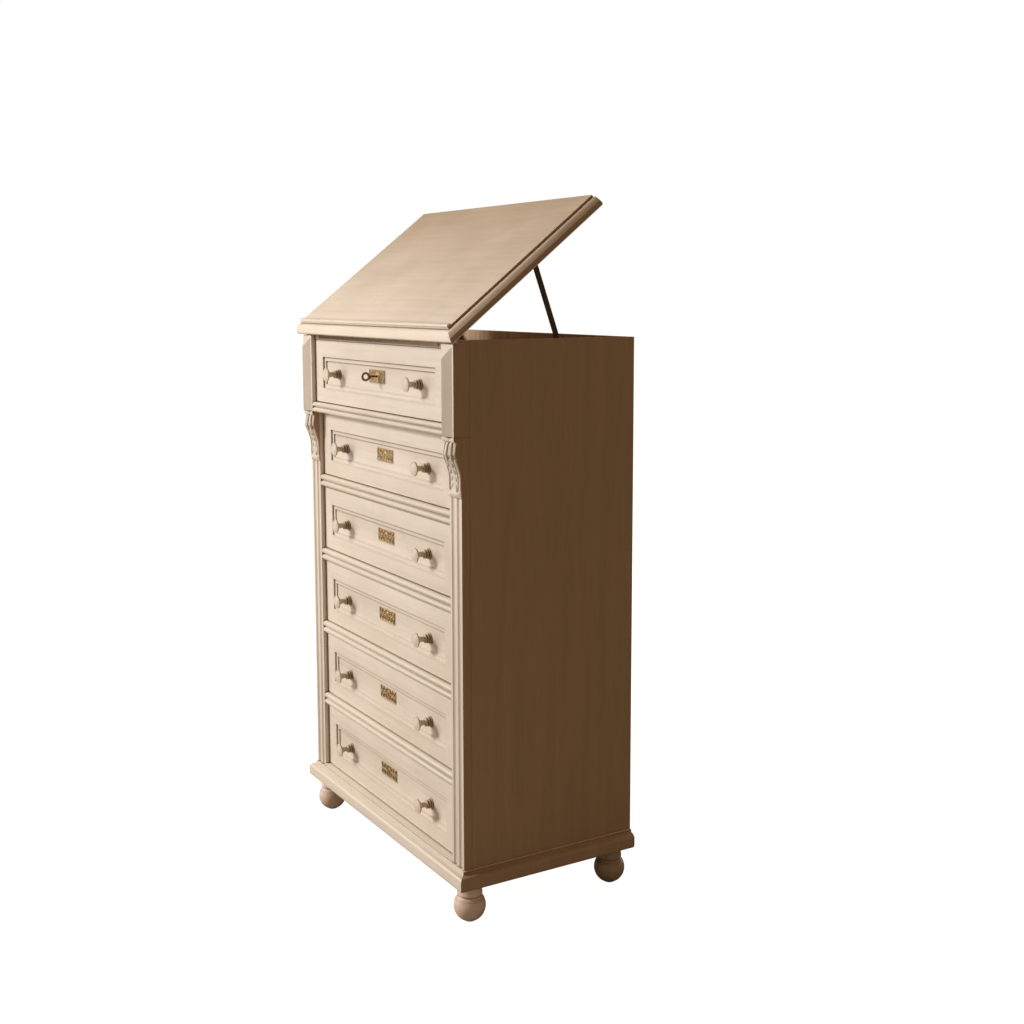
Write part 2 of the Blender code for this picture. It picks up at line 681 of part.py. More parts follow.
def key_mesh():
    """Key along Y about its own axis: round bow in front, collar, shank, and the bit inside the lock."""
    bow_y = -KEY_REACH + KEY_BOW_RADIUS + KEY_BOW_WIRE
    ring = [
        circle((bow_y, 0), KEY_BOW_RADIUS + KEY_BOW_WIRE, BOW_STEPS),
        circle((bow_y, 0), KEY_BOW_RADIUS - KEY_BOW_WIRE, BOW_STEPS),
    ]
    bow = prism_mesh(ring, "X", -KEY_BOW_WIRE, KEY_BOW_WIRE)
    shank_start = bow_y + KEY_BOW_RADIUS
    bit_start = FIELD_DEPTH + LOCK_SKIN + BIT_CLEARANCE
    shank_end = bit_start + KEY_BIT_WIDTH
    collar_start = shank_start + KEY_NECK
    collar_end = collar_start + KEY_COLLAR_LENGTH
    shank = turned_mesh([
        (0, -shank_start), (KEY_SHANK_RADIUS, -shank_start), (KEY_SHANK_RADIUS, -collar_start),
        (KEY_COLLAR_RADIUS, -collar_start), (KEY_COLLAR_RADIUS, -collar_end), (KEY_SHANK_RADIUS, -collar_end),
        (KEY_SHANK_RADIUS, -shank_end), (0, -shank_end),
    ], SMALL_STEPS)
    shank.transform(Matrix.Rotation(pi / 2, 4, "X"))
    half_bit = KEY_BIT_THICKNESS / 2
    bit = box_mesh((-half_bit, bit_start, -KEY_BIT_LENGTH), (half_bit, shank_end - BIT_CLEARANCE / 2, 0))
    return combined(bow, ("UNION", shank), ("UNION", bit))


def build_drawers():
    lower_front = front_mesh(LOWER_OPENING)
    tray = box_tray_mesh()
    plate = plate_mesh()
    knob = turned_mesh(knob_profile(), KNOB_STEPS)
    floor = CORNICE_TOP
    for i in range(1, DRAWER_COUNT + 1):
        opening = TOP_OPENING if i == 1 else LOWER_OPENING
        plane_y = FRONT_Y + (UPPER_DRAWER_SETBACK if i == 1 else DRAWER_RECESS)
        slide = joint_empty(f"drawer_{i}_slide", (0, plane_y, floor))
        middle = opening / 2
        front = top_front_mesh() if i == 1 else lower_front
        add_part(f"drawer_{i}_front", front, CREAM_PAINT, slide)
        add_part(f"drawer_{i}_box", tray, BARE_WOOD, slide)
        for side, x in (("left", -KNOB_SPREAD / 2), ("right", KNOB_SPREAD / 2)):
            place = (x, PANEL_Y, middle - KNOB_DROP)
            add_part(f"drawer_{i}_knob_{side}", knob, CREAM_PAINT, slide, place, (pi / 2, 0, 0))
        add_part(f"drawer_{i}_escutcheon", plate, BRASS, slide, (0, PANEL_Y, middle + PLATE_RISE))
        if i == 1:
            build_lock(slide, middle + PLATE_RISE)
        below = CORNICE_HEIGHT if i == 1 else DIVIDER_HEIGHT
        floor -= below + LOWER_OPENING


def build_lock(slide, key_z):
    key_turn = joint_empty("key_turn", (0, 0, key_z), parent=slide)
    add_part("key", key_mesh(), BRASS, key_turn)
    bolt_slide = joint_empty("bolt_slide", (0, bolt_y(), key_z), parent=slide)
    top = TOP_OPENING - FRONT_CLEARANCE - BOLT_CLEARANCE - key_z
    half = BOLT_WIDTH / 2
    bolt = box_mesh((-half, 0, -BOLT_TAIL), (half, BOLT_THICKNESS, top))
    add_part("lock_bolt", bolt, DARK_IRON, bolt_slide)


# Lid, hinge and stay, in the frame of the hinge axis with the lid shut

def lid_layer(inset, z):
    half = LID_HALF_WIDTH - inset
    return (-half, half, -LID_NOSE + inset, LID_BACK + 2 * LID_FIELD_INSET - inset, LID_BOTTOM + z)


def lid_mesh():
    """Lid with a sloping, full edge on its front and sides, a raised field and a plain back."""
    layers = []
    for i in range(ARC_STEPS // 2 + 1):
        angle = pi / 2 * i / (ARC_STEPS // 2)
        layers.append(lid_layer(LID_LOWER_ROUND * (1 - sin(angle)), LID_LOWER_ROUND * (1 - cos(angle))))
    run = LID_FIELD_INSET - LID_QUIRK
    slope = LID_EDGE_HEIGHT - LID_LOWER_ROUND
    for i in range(1, ARC_STEPS + 1):
        share = i / ARC_STEPS
        rise = LID_LOWER_ROUND + slope * share + LID_EDGE_BULGE * sin(pi * share)
        layers.append(lid_layer(run * share, rise))
    layers.append(lid_layer(run, LID_EDGE_HEIGHT - LID_QUIRK))
    layers.append(lid_layer(LID_FIELD_INSET, LID_EDGE_HEIGHT - LID_QUIRK))
    layers.append(lid_layer(LID_FIELD_INSET, LID_EDGE_HEIGHT + LID_FIELD_RISE))
    half = HINGE_LENGTH / 2 + HINGE_JOINT
    leaf_back = LEAF_WIDTH - KNUCKLE_RADIUS + HINGE_JOINT
    recess = box_mesh(
        (-half, -KNUCKLE_RADIUS - HINGE_JOINT, LID_BOTTOM - GAP),
        (half, leaf_back, LID_BOTTOM + LEAF_THICKNESS + 2 * GAP),
    )
    behind = box_mesh(
        (-LID_HALF_WIDTH - LID_NOSE, LID_BACK, LID_BOTTOM - LID_NOSE),
        (LID_HALF_WIDTH + LID_NOSE, LID_BACK + 3 * LID_FIELD_INSET, LID_TOP + LID_NOSE),
    )
    return combined(stacked_mesh(layers), ("DIFFERENCE", recess), ("DIFFERENCE", behind))


def ledge_outline():
    front = -LID_NOSE + LID_FIELD_INSET
    back = front + LEDGE_DEPTH
    bottom = LID_TOP + GAP
    top = LID_TOP + LEDGE_HEIGHT
    points = [(front, bottom), (back, bottom)]
    points += arc((back - LEDGE_ROUND, top - LEDGE_ROUND), LEDGE_ROUND, 0, 90, ARC_STEPS // 2)
    points += arc((front + LEDGE_ROUND, top - LEDGE_ROUND), LEDGE_ROUND, 90, 180, ARC_STEPS // 2)
    return points


def knuckle_spans(first):
    """Lengths along X of every second knuckle, starting with the given one."""
    pitch = HINGE_LENGTH / HINGE_KNUCKLES
    starts = [-HINGE_LENGTH / 2 + pitch * i for i in range(first, HINGE_KNUCKLES, 2)]
    return [(start + HINGE_JOINT / 2, start + pitch - HINGE_JOINT / 2) for start in starts]


def fixed_leaf_mesh():
    """Carcass leaf on the front of the top rail, with its knuckles and the pin."""
    wall = REBATE_DEPTH - HINGE_SETBACK - GAP
    bottom = KNUCKLE_RADIUS - LEAF_WIDTH
    top = -KNUCKLE_RADIUS - HINGE_JOINT
    plate = [(wall - LEAF_THICKNESS, bottom), (wall, bottom), (wall, top), (wall - LEAF_THICKNESS, top)]
    half = HINGE_LENGTH / 2
    leaf = prism_mesh([plate], "X", -half, half)
    pin_end = half - HINGE_JOINT
    pin = prism_mesh([circle((0, 0), HINGE_PIN_RADIUS, SMALL_STEPS)], "X", -pin_end, pin_end)
    root = top - LEAF_THICKNESS
    knuckle = arc((0, 0), KNUCKLE_RADIUS, 0, 270, SMALL_STEPS) + [(0, root), (wall, root), (wall, 0)]
    knuckles = [prism_mesh([knuckle], "X", *span) for span in knuckle_spans(0)]
    return combined(leaf, *[("UNION", tool) for tool in (*knuckles, pin)])


def moving_leaf_mesh():
    """Lid leaf let into the underside of the lid, with its bored knuckles."""
    low = LID_BOTTOM + GAP / 2
    plate = [(-KNUCKLE_RADIUS, low), (LEAF_WIDTH - KNUCKLE_RADIUS, low)]
    plate += [(LEAF_WIDTH - KNUCKLE_RADIUS, low + LEAF_THICKNESS), (-KNUCKLE_RADIUS, low + LEAF_THICKNESS)]
    half = HINGE_LENGTH / 2
    leaf = prism_mesh([plate], "X", -half, half)
    root = low + LEAF_THICKNESS / 2
    knuckle = arc((0, 0), KNUCKLE_RADIUS, 90, 360, SMALL_STEPS) + [(KNUCKLE_RADIUS, root), (0, root)]
    bore = circle((0, 0), HINGE_PIN_RADIUS + HINGE_PIN_CLEARANCE, SMALL_STEPS)
    knuckles = [prism_mesh([knuckle, bore], "X", *span) for span in knuckle_spans(1)]
    return combined(leaf, *[("UNION", tool) for tool in knuckles])


def bracket_mesh():
    """Bracket under the lid: a screw plate, one ear beside the stay, and the headed pivot pin."""
    top = LID_BOTTOM - GAP
    stay_face = STAY_X - STAY_THICKNESS / 2 - GAP
    half = BRACKET_LENGTH / 2
    plate = box_mesh(
        (stay_face - BRACKET_WIDTH, STAY_PIVOT_REACH - half, top - BRACKET_THICKNESS),
        (stay_face, STAY_PIVOT_REACH + half, top),
    )
    pivot = (STAY_PIVOT_REACH, STAY_PIVOT_Z)
    ear = arc(pivot, EAR_WIDTH / 2, 180, 360) + [
        (STAY_PIVOT_REACH + EAR_WIDTH / 2, top - BRACKET_THICKNESS / 2),
        (STAY_PIVOT_REACH - EAR_WIDTH / 2, top - BRACKET_THICKNESS / 2),
    ]
    ear_plate = prism_mesh([ear], "X", stay_face - EAR_THICKNESS, stay_face)
    head_start = stay_face + STAY_THICKNESS + 2 * GAP
    head_end = head_start + PIVOT_HEAD_THICKNESS
    pin_start = stay_face - EAR_THICKNESS / 2
    pin = prism_mesh([circle(pivot, PIVOT_RADIUS, SMALL_STEPS)], "X", pin_start, head_end - GAP)
    head = prism_mesh([circle(pivot, PIVOT_HEAD_RADIUS, SMALL_STEPS)], "X", head_start, head_end)
    return combined(plate, ("UNION", ear_plate), ("UNION", pin), ("UNION", head))


def stay_pivot_at_rest():
    """Height and depth of the stay's pivot in the room, with the lid propped open."""
    y = HINGE_Y + STAY_PIVOT_REACH * cos(LID_ANGLE) - STAY_PIVOT_Z * sin(LID_ANGLE)
    z = HINGE_Z + STAY_PIVOT_REACH * sin(LID_ANGLE) + STAY_PIVOT_Z * cos(LID_ANGLE)
    return y, z


def stay_length():
    """Distance from the pivot to the foot pin, which stands just below the top of the case."""
    return (stay_pivot_at_rest()[1] - (CASE_TOP - STAY_FOOT_DEPTH)) / cos(STAY_LEAN)


def stay_mesh():
    """Stay lying along +Y from its pivot, with a cross pin at its foot."""
    half = STAY_WIDTH / 2
    length = stay_length()
    bar = arc((0, 0), half, 90, 270) + arc((length, 0), half, -90, 90)
    hole = circle((0, 0), PIVOT_RADIUS + PIVOT_CLEARANCE, SMALL_STEPS)
    half_thick = STAY_THICKNESS / 2
    body = prism_mesh([bar, hole], "X", -half_thick, half_thick)
    foot_pin = circle((length, 0), STAY_PIN_RADIUS, SMALL_STEPS)
    pin = prism_mesh([foot_pin], "X", -half_thick / 2, half_thick + STAY_PIN_LENGTH)
    return combined(body, ("UNION", pin))


def stay_seat():
    """Block on the floor of the well, beside the bar, whose sloping top carries the stay's foot pin."""
    pivot_y, pivot_z = stay_pivot_at_rest()
    foot_y = pivot_y + stay_length() * sin(STAY_LEAN)
    foot_z = pivot_z - stay_length() * cos(STAY_LEAN)
    under_pin = foot_z - (STAY_PIN_RADIUS + GAP) / cos(SEAT_SLOPE)
    half = SEAT_LENGTH / 2
    drop = half * tan(SEAT_SLOPE)
    bottom = WELL_FLOOR_TOP - WELL_FLOOR / 2
    outline = [(foot_y - half, bottom), (foot_y + half, bottom), (foot_y + half, under_pin - drop)]
    outline.append((foot_y - half, under_pin + drop))
    inner = STAY_X + STAY_THICKNESS / 2 + STAY_PIN_LENGTH / 2
    return prism_mesh([outline], "X", inner, HALF_INSIDE - GAP)


def build_lid():
    hinge = joint_empty("lid_hinge", (0, HINGE_Y, HINGE_Z), (LID_ANGLE, 0, 0))
    add_part("lid", lid_mesh(), CREAM_PAINT, hinge)
    ledge_half = LID_HALF_WIDTH - LID_FIELD_INSET
    add_part("lid_ledge", prism_mesh([ledge_outline()], "X", -ledge_half, ledge_half), CREAM_PAINT, hinge)
    add_part("hinge_lid_leaf", moving_leaf_mesh(), BRASS, hinge)
    add_part("stay_bracket", bracket_mesh(), DARK_IRON, hinge)
    add_part("hinge_case_leaf", fixed_leaf_mesh(), BRASS, None, (0, HINGE_Y, HINGE_Z))
    swing = -(pi / 2 - STAY_LEAN) - LID_ANGLE
    pivot = joint_empty("stay_fold", (STAY_X, STAY_PIVOT_REACH, STAY_PIVOT_Z), (swing, 0, 0), hinge)
    add_part("stay", stay_mesh(), DARK_IRON, pivot)


clear_scene()
build_panels()
build_dividers()
build_top()
build_stiles()
build_base()
build_drawers()
build_lid()
bpy.context.view_layer.update()
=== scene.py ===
"""Looks of the secretaire chest: aged paint with painted shade and highlights, brown sides, carving,
turned work, brass and iron.
"""

import json
from math import cos, exp, pi, radians, sin, sqrt

import bmesh
import bpy
from mathutils import Matrix, Vector


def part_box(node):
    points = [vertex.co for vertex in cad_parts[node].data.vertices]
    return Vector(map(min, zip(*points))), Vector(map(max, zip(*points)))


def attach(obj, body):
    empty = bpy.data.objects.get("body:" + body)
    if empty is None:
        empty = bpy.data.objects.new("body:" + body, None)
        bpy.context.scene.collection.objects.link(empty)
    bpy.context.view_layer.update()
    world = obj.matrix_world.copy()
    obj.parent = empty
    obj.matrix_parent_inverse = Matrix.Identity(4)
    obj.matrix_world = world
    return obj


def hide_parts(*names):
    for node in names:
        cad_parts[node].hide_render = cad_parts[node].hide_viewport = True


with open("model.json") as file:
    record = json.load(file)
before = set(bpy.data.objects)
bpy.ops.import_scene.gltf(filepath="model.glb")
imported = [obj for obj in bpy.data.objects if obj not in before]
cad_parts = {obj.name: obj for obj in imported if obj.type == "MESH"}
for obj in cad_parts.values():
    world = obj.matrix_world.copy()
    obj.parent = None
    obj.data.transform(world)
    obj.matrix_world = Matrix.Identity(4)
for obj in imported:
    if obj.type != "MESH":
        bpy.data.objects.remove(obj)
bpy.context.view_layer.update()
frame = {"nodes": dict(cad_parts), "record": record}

NODES = frame["nodes"]
BEHAVIOUR = frame["record"]["behaviour"]
BODY_OF = {node: body for body, nodes in BEHAVIOUR["bodies"].items() for node in nodes}
LID_HINGE = next(joint for joint in BEHAVIOUR["joints"] if joint["name"] == "lid_hinge")

# Camera at the photograph's viewing angle, from a fit to its edges in a frame of 1024 x 1024 pixels
FRAME_PIXELS = 1024
FOCAL_PIXELS = 1321.1
AXIS_PIXEL_Y = 450
CAMERA_AZIMUTH = 1.0272
CAMERA_DIP = 0.1172
CAMERA_ROLL = -0.0022
CAMERA_PLACE = (2.7812, -1.51665, 1.3593)
SENSOR = 36.0

# Planes of the case, read from the frame, the thickness of the well's board and the number of drawers
WELL_BOARD = 0.010
FRONT_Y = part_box("pilaster_right")[0].y
HALF_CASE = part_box("right_side")[1].x
WELL_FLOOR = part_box("top_board")[0].z + WELL_BOARD
DRAWERS = 6

# How far the sharp edges of a piece are eased, in metres
EDGE_ROUND = 0.0008
STAY_ROUND = 0.0006
POST_ROUND = 0.0004
THIN_ROUND = 0.0003
LEAF_ROUND = 0.0002

# Angles over which an edge is sharp, two faces are no longer one, and the shading has a crease
SHARP = radians(32)
FLAT = radians(0.5)
SMOOTH = radians(38)

# Distances under which two points are one, on flat work and on turned work
SAME_POINT = 1e-6
SAME_TURNED_POINT = 1e-7

# Share of an axis in the normal of a face that looks mostly along it
MOSTLY = 0.5


# Node trees

# Sockets of the Mix node when it mixes colours
MIX_SHARE = 0
MIX_FIRST = 6
MIX_SECOND = 7
MIX_RESULT = 2

# Open share of the view from an open face and from a deep corner
OPEN_VIEW = 0.92
CLOSED_VIEW = 0.48
CREVICE_SAMPLES = 6

# Agreement of the plain normal and the bevelled one, on a flat face and on an edge
FLAT_MATCH = 0.995
EDGE_MATCH = 0.90
EDGE_SAMPLES = 4


class Look:
    """A material under construction: short calls that add nodes and hand back their output sockets."""

    def __init__(self, name):
        self.material = bpy.data.materials.new(name)
        self.material.use_nodes = True
        self.tree = self.material.node_tree
        self.shader = self.tree.nodes["Principled BSDF"]
        self.place = self.add("TexCoord").outputs["Object"]

    def add(self, kind, inputs=None, **settings):
        node = self.tree.nodes.new("ShaderNode" + kind)
        for key, value in settings.items():
            setattr(node, key, value)
        for key, value in (inputs or {}).items():
            self.put(node.inputs[key], value)
        return node

    def put(self, socket, value):
        if isinstance(value, bpy.types.NodeSocket):
            self.tree.links.new(value, socket)
        else:
            socket.default_value = value

    def noise(self, scale, detail=4.0, rough=0.55, twist=0.0, place=None):
        inputs = {"Vector": place or self.place, "Scale": scale, "Detail": detail}
        inputs |= {"Roughness": rough, "Distortion": twist}
        return self.add("TexNoise", inputs).outputs["Fac"]

    def grain(self, scales, detail, rough, twist=0.0):
        """Noise drawn out along an axis, by a scale for each axis."""
        place = self.add("Mapping", {"Vector": self.place, "Scale": scales}).outputs["Vector"]
        return self.noise(1.0, detail, rough, twist, place)

    def span(self, value, low, high, to_low=0.0, to_high=1.0):
        inputs = {"Value": value, "From Min": low, "From Max": high, "To Min": to_low, "To Max": to_high}
        return self.add("MapRange", inputs).outputs["Result"]

    def maths(self, operation, a, b):
        node = self.add("Math", operation=operation)
        self.put(node.inputs[0], a)
        self.put(node.inputs[1], b)
        return node.outputs["Value"]

    def times(self, a, b):
        return self.maths("MULTIPLY", a, b)

    def mix(self, share, a, b, blend="MIX"):
        node = self.add("Mix", data_type="RGBA", blend_type=blend)
        self.put(node.inputs[MIX_SHARE], share)
        for socket, colour in ((MIX_FIRST, a), (MIX_SECOND, b)):
            linked = isinstance(colour, bpy.types.NodeSocket)
            self.put(node.inputs[socket], colour if linked else (*colour, 1.0))
        return node.outputs[MIX_RESULT]

    def tinted(self, colour, tint):
        return self.mix(1.0, colour, tint, "MULTIPLY")

    def normal(self):
        return self.add("NewGeometry").outputs["Normal"]

    def upward(self, vector):
        return self.add("SeparateXYZ", {"Vector": vector}).outputs["Z"]

    def crevice(self, distance, lean=0.0):
        """Near 1 in corners and hollows, 0 on open faces; with a lean, more where the cover is above."""
        lifted = self.add("VectorMath", operation="ADD")
        self.put(lifted.inputs[0], self.normal())
        lifted.inputs[1].default_value = (0.0, 0.0, lean)
        inputs = {"Distance": distance, "Normal": lifted.outputs["Vector"]}
        hollow = self.add("AmbientOcclusion", inputs, samples=CREVICE_SAMPLES)
        return self.span(hollow.outputs["AO"], OPEN_VIEW, CLOSED_VIEW)

    def edge(self, radius):
        """Near 1 along outer and inner edges, 0 on flat faces."""
        turned_normal = self.add("Bevel", {"Radius": radius}, samples=EDGE_SAMPLES).outputs["Normal"]
        match = self.add("VectorMath", operation="DOT_PRODUCT")
        self.put(match.inputs[0], turned_normal)
        self.put(match.inputs[1], self.normal())
        return self.span(match.outputs["Value"], FLAT_MATCH, EDGE_MATCH)

    def relief(self, height, depth, strength=1.0, under=None):
        inputs = {"Height": height, "Distance": depth, "Strength": strength}
        if under:
            inputs["Normal"] = under
        return self.add("Bump", inputs).outputs["Normal"]

    def done(self, colour, roughness, normal, metallic=0.0):
        self.put(self.shader.inputs["Base Color"], colour)
        self.put(self.shader.inputs["Roughness"], roughness)
        self.put(self.shader.inputs["Normal"], normal)
        self.shader.inputs["Metallic"].default_value = metallic
        return self.material


# Materials

CREAM = ((0.695, 0.592, 0.490), (0.765, 0.662, 0.566))
CREAM_STAIN = (0.51, 0.385, 0.26)
# Tint of painted shade, pale of rubbed edges and painted highlight, brown of dirt and painted shade
CREAM_PAINTED_SHADE = (0.76, 0.68, 0.60)
CREAM_RUBBED_AND_LIT = (0.86, 0.77, 0.64)
CREAM_DIRT_AND_SHADE = (0.15, 0.092, 0.048)
# Lean of the painted shade towards cover from above
SHADE_LEAN = 0.8

SIDE_TONES = ((0.364, 0.219, 0.123), (0.428, 0.263, 0.151))
WELL_TONES = ((0.530, 0.322, 0.160), (0.670, 0.420, 0.215))
BARE_TONES = ((0.40, 0.255, 0.135), (0.60, 0.425, 0.255))
BACK_TONES = ((0.37, 0.235, 0.125), (0.57, 0.40, 0.24))

BRASS_PATINA = ((0.50, 0.345, 0.175), (0.36, 0.235, 0.115))
BRASS_RUBBED = (0.72, 0.53, 0.28)
BRASS_HOLLOW = (0.11, 0.070, 0.035)
IRON_BLOOM = ((0.070, 0.054, 0.040), (0.150, 0.085, 0.045))
IRON_RUBBED = (0.30, 0.25, 0.20)


def cream_paint(name, streaks, dirt_and_shade=(0.005, 1.0), glaze=(1.0, 1.0, 1.0), shade_heights=None, top_highlight=0.0):
    """Old cream paint: cloudy tone, brush marks, brown dirt and painted shade in the corners, and paler
    edges.

    The dirt and painted shade have a reach in metres and a strength, and a glaze tints the whole coat.
    Between two heights the coat can also turn browner: painted shade towards one end of a piece.
    The paler edges are rubbed wear and painted highlight; faces that look up can be paled as a painted
    highlight, and then the painted shade leans towards cover from above.
    """
    look = Look(name)
    cloud = look.span(look.noise(5.0, 5.0, 0.6), 0.3, 0.7)
    brush = look.grain(streaks, 4.0, 0.65)
    fine = look.noise(160.0, 4.0, 0.7)
    tone = look.span(brush, 0.30, 0.70, 0.93, 1.04)
    grey = look.add("CombineColor", {"Red": tone, "Green": tone, "Blue": tone}).outputs[0]
    colour = look.tinted(look.mix(cloud, *CREAM), grey)
    stain = look.span(look.noise(14.0, 6.0, 0.7), 0.60, 0.80, 0.0, 0.30)
    colour = look.tinted(look.mix(stain, colour, CREAM_STAIN), glaze)
    # Painted shade: browner towards one end of the piece, between two heights
    if shade_heights:
        painted_shade_colour = look.tinted(colour, CREAM_PAINTED_SHADE)
        colour = look.mix(look.span(look.upward(look.place), *shade_heights), colour, painted_shade_colour)
    # Paler edges: rubbed wear and painted highlight
    rubbed_and_lit = look.times(look.edge(0.0022), look.span(look.noise(55.0, 5.0, 0.7), 0.35, 0.62))
    wear_and_highlight = tuple(part * tint for part, tint in zip(CREAM_RUBBED_AND_LIT, glaze))
    colour = look.mix(look.times(rubbed_and_lit, 0.45), colour, wear_and_highlight)
    # Dirt and painted shade in corners and hollows, leaning towards cover from above when tops are
    # highlighted
    reach, strength = dirt_and_shade
    hollow = look.crevice(reach, SHADE_LEAN if top_highlight else 0.0)
    grime_and_shade = look.times(hollow, look.span(fine, 0.25, 0.65, 0.65, 1.0))
    colour = look.mix(look.times(grime_and_shade, strength), colour, CREAM_DIRT_AND_SHADE)
    # Painted highlight on faces that look up
    if top_highlight:
        top_highlight_share = look.span(look.upward(look.normal()), 0.25, 0.80, 0.0, top_highlight)
        colour = look.mix(top_highlight_share, colour, wear_and_highlight)
    roughness = look.span(look.maths("ADD", brush, cloud), 0.4, 1.6, 0.40, 0.58)
    normal = look.relief(brush, 0.00022)
    return look.done(colour, roughness, look.relief(fine, 0.00010, 0.6, normal))


def wood(name, grain, pores, tones, gloss, open_pores=0.55, corners=(0.014, 0.55)):
    """Wood with long grain, fine pores and painted shade in its corners, which has a reach and a
    strength.
    """
    look = Look(name)
    dark, light = tones
    figure = look.grain(grain, 6.0, 0.62, 1.4)
    pore = look.grain(pores, 3.0, 0.7)
    colour = look.mix(look.span(figure, 0.32, 0.68), dark, light)
    cloud = look.span(look.noise(3.0, 4.0), 0.3, 0.7, 0.0, 0.35)
    colour = look.mix(cloud, colour, tuple(0.5 * (a + b) * 0.86 for a, b in zip(dark, light)))
    streak = look.span(pore, 0.52, 0.66, 0.0, open_pores)
    colour = look.mix(streak, colour, tuple(0.55 * a for a in dark))
    reach, strength = corners
    # Painted shade in the corners
    colour = look.mix(look.times(look.crevice(reach), strength), colour, tuple(0.35 * a for a in dark))
    roughness = look.span(pore, 0.3, 0.7, gloss - 0.08, gloss + 0.12)
    normal = look.relief(pore, 0.00020, 0.8)
    return look.done(colour, roughness, look.relief(figure, 0.00025, 0.5, normal))


def brass(name, tone_and_shade):
    """Old brass: brown patina in the hollows, paler where hands and dusters reach."""
    look = Look(name)
    patina = look.span(look.noise(90.0, 6.0, 0.7), 0.35, 0.70)
    colour = look.mix(patina, *BRASS_PATINA)
    colour = look.mix(look.times(look.edge(0.0008), 0.5), colour, BRASS_RUBBED)
    colour = look.mix(look.times(look.crevice(0.004), 0.6), colour, BRASS_HOLLOW)
    # The whole colour is scaled: the brass's own tone, and on the hinge leaves painted shade
    colour = look.tinted(colour, (tone_and_shade, tone_and_shade, tone_and_shade))
    scratch = look.noise(600.0, 3.0, 0.7)
    roughness = look.span(patina, 0.0, 1.0, 0.38, 0.58)
    return look.done(colour, roughness, look.relief(scratch, 0.00006, 0.7), 0.9)


def iron(name):
    """Dark iron with a dry brown bloom and paler edges."""
    look = Look(name)
    bloom = look.span(look.noise(120.0, 6.0, 0.75), 0.45, 0.72)
    colour = look.mix(bloom, *IRON_BLOOM)
    colour = look.mix(look.times(look.edge(0.0006), 0.5), colour, IRON_RUBBED)
    pitting = look.noise(420.0, 5.0, 0.7)
    roughness = look.span(bloom, 0.0, 1.0, 0.42, 0.70)
    return look.done(colour, roughness, look.relief(pitting, 0.00008, 0.8), 0.85)


# Brush marks and grain run along the axis with the small scale
BRUSH_LEVEL = (3.0, 90.0, 110.0)
BRUSH_UPRIGHT = (110.0, 90.0, 3.0)
BRUSH_TURNED = (90.0, 90.0, 3.0)
BRUSH_NECK = (90.0, 3.0, 90.0)
BRUSH_LID = (3.0, 80.0, 80.0)

# Faces that look up are paled as a painted highlight
PAINT_LEVEL = cream_paint("cream_paint_level", BRUSH_LEVEL, top_highlight=0.7)
PAINT_UPRIGHT = cream_paint("cream_paint_upright", BRUSH_UPRIGHT)
# Carving: dirt and painted shade with a longer reach in its recesses
PAINT_CARVED = cream_paint("cream_paint_carved", BRUSH_UPRIGHT, dirt_and_shade=(0.007, 0.75))
# A darker copy of the cream paint: painted shade, for the rail under the lid and the drawers' lower
# chamfers
PAINT_SHADED = cream_paint("cream_paint_shaded", BRUSH_LEVEL, dirt_and_shade=(0.006, 0.9), glaze=(0.46, 0.39, 0.32))
# A darker copy for the knobs' necks: painted shade, with dirt and painted shade in the rings
PAINT_NECK_SHADED = cream_paint("cream_paint_neck_shaded", BRUSH_NECK, dirt_and_shade=(0.006, 0.95), glaze=(0.84, 0.76, 0.66))
# Front feet: a warmer tint, browner towards the floor as painted shade
PAINT_FOOT = cream_paint("cream_paint_foot", BRUSH_TURNED, dirt_and_shade=(0.006, 0.9),
                         glaze=(1.08, 0.96, 0.91), shade_heights=(0.05, 0.0))
# Rear feet: a darker copy of the paint as painted shade, browner towards the floor
PAINT_REAR_SHADED = cream_paint("cream_paint_rear_shaded", BRUSH_TURNED, dirt_and_shade=(0.008, 0.9),
                         glaze=(0.53, 0.43, 0.32), shade_heights=(0.05, 0.0))
# The lid: a paler copy of the paint as painted light, browner towards the back as painted shade
PAINT_LID_LIT_AND_SHADED = cream_paint("cream_paint_lid_lit_and_shaded", BRUSH_LID, glaze=(1.18, 1.18, 1.18), shade_heights=(1.30, 1.56))
SIDE_BROWN = wood("brown_side_stain", (26.0, 26.0, 1.3), (420.0, 420.0, 9.0), SIDE_TONES, 0.52,
                  open_pores=0.16, corners=(0.005, 0.30))
WELL_STAIN = wood("brown_well_stain", (1.3, 26.0, 26.0), (9.0, 420.0, 420.0), WELL_TONES, 0.58,
                  open_pores=0.30)
BARE_LEVEL = wood("bare_wood_level", (1.6, 30.0, 30.0), (10.0, 450.0, 450.0), BARE_TONES, 0.66)
BARE_DEEP = wood("bare_wood_deep", (30.0, 1.6, 30.0), (450.0, 10.0, 450.0), BARE_TONES, 0.66)
BARE_UPRIGHT = wood("bare_wood_upright", (30.0, 30.0, 1.5), (450.0, 450.0, 10.0), BACK_TONES, 0.68)
OLD_BRASS = brass("old_brass", 0.95)
BROWN_BRASS = brass("brown_brass", 0.60)
# Hinge leaves: brass darkened as painted shade under the lid
SHADED_BRASS = brass("shaded_brass", 0.28)
DARK_IRON = iron("dark_iron")


# Meshes and pieces

def finished(bm, name):
    mesh = bpy.data.meshes.new(name)
    bm.to_mesh(mesh)
    bm.free()
    mesh.shade_smooth()
    mesh.set_sharp_from_angle(angle=SMOOTH)
    return mesh


def add_piece(node, bm, materials):
    """The visible piece that stands for a node and rides on its body."""
    name = f"{node}_look"
    mesh = finished(bm, name)
    for material in materials:
        mesh.materials.append(material)
    piece = bpy.data.objects.new(name, mesh)
    bpy.context.scene.collection.objects.link(piece)
    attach(piece, BODY_OF[node])
    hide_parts(node)


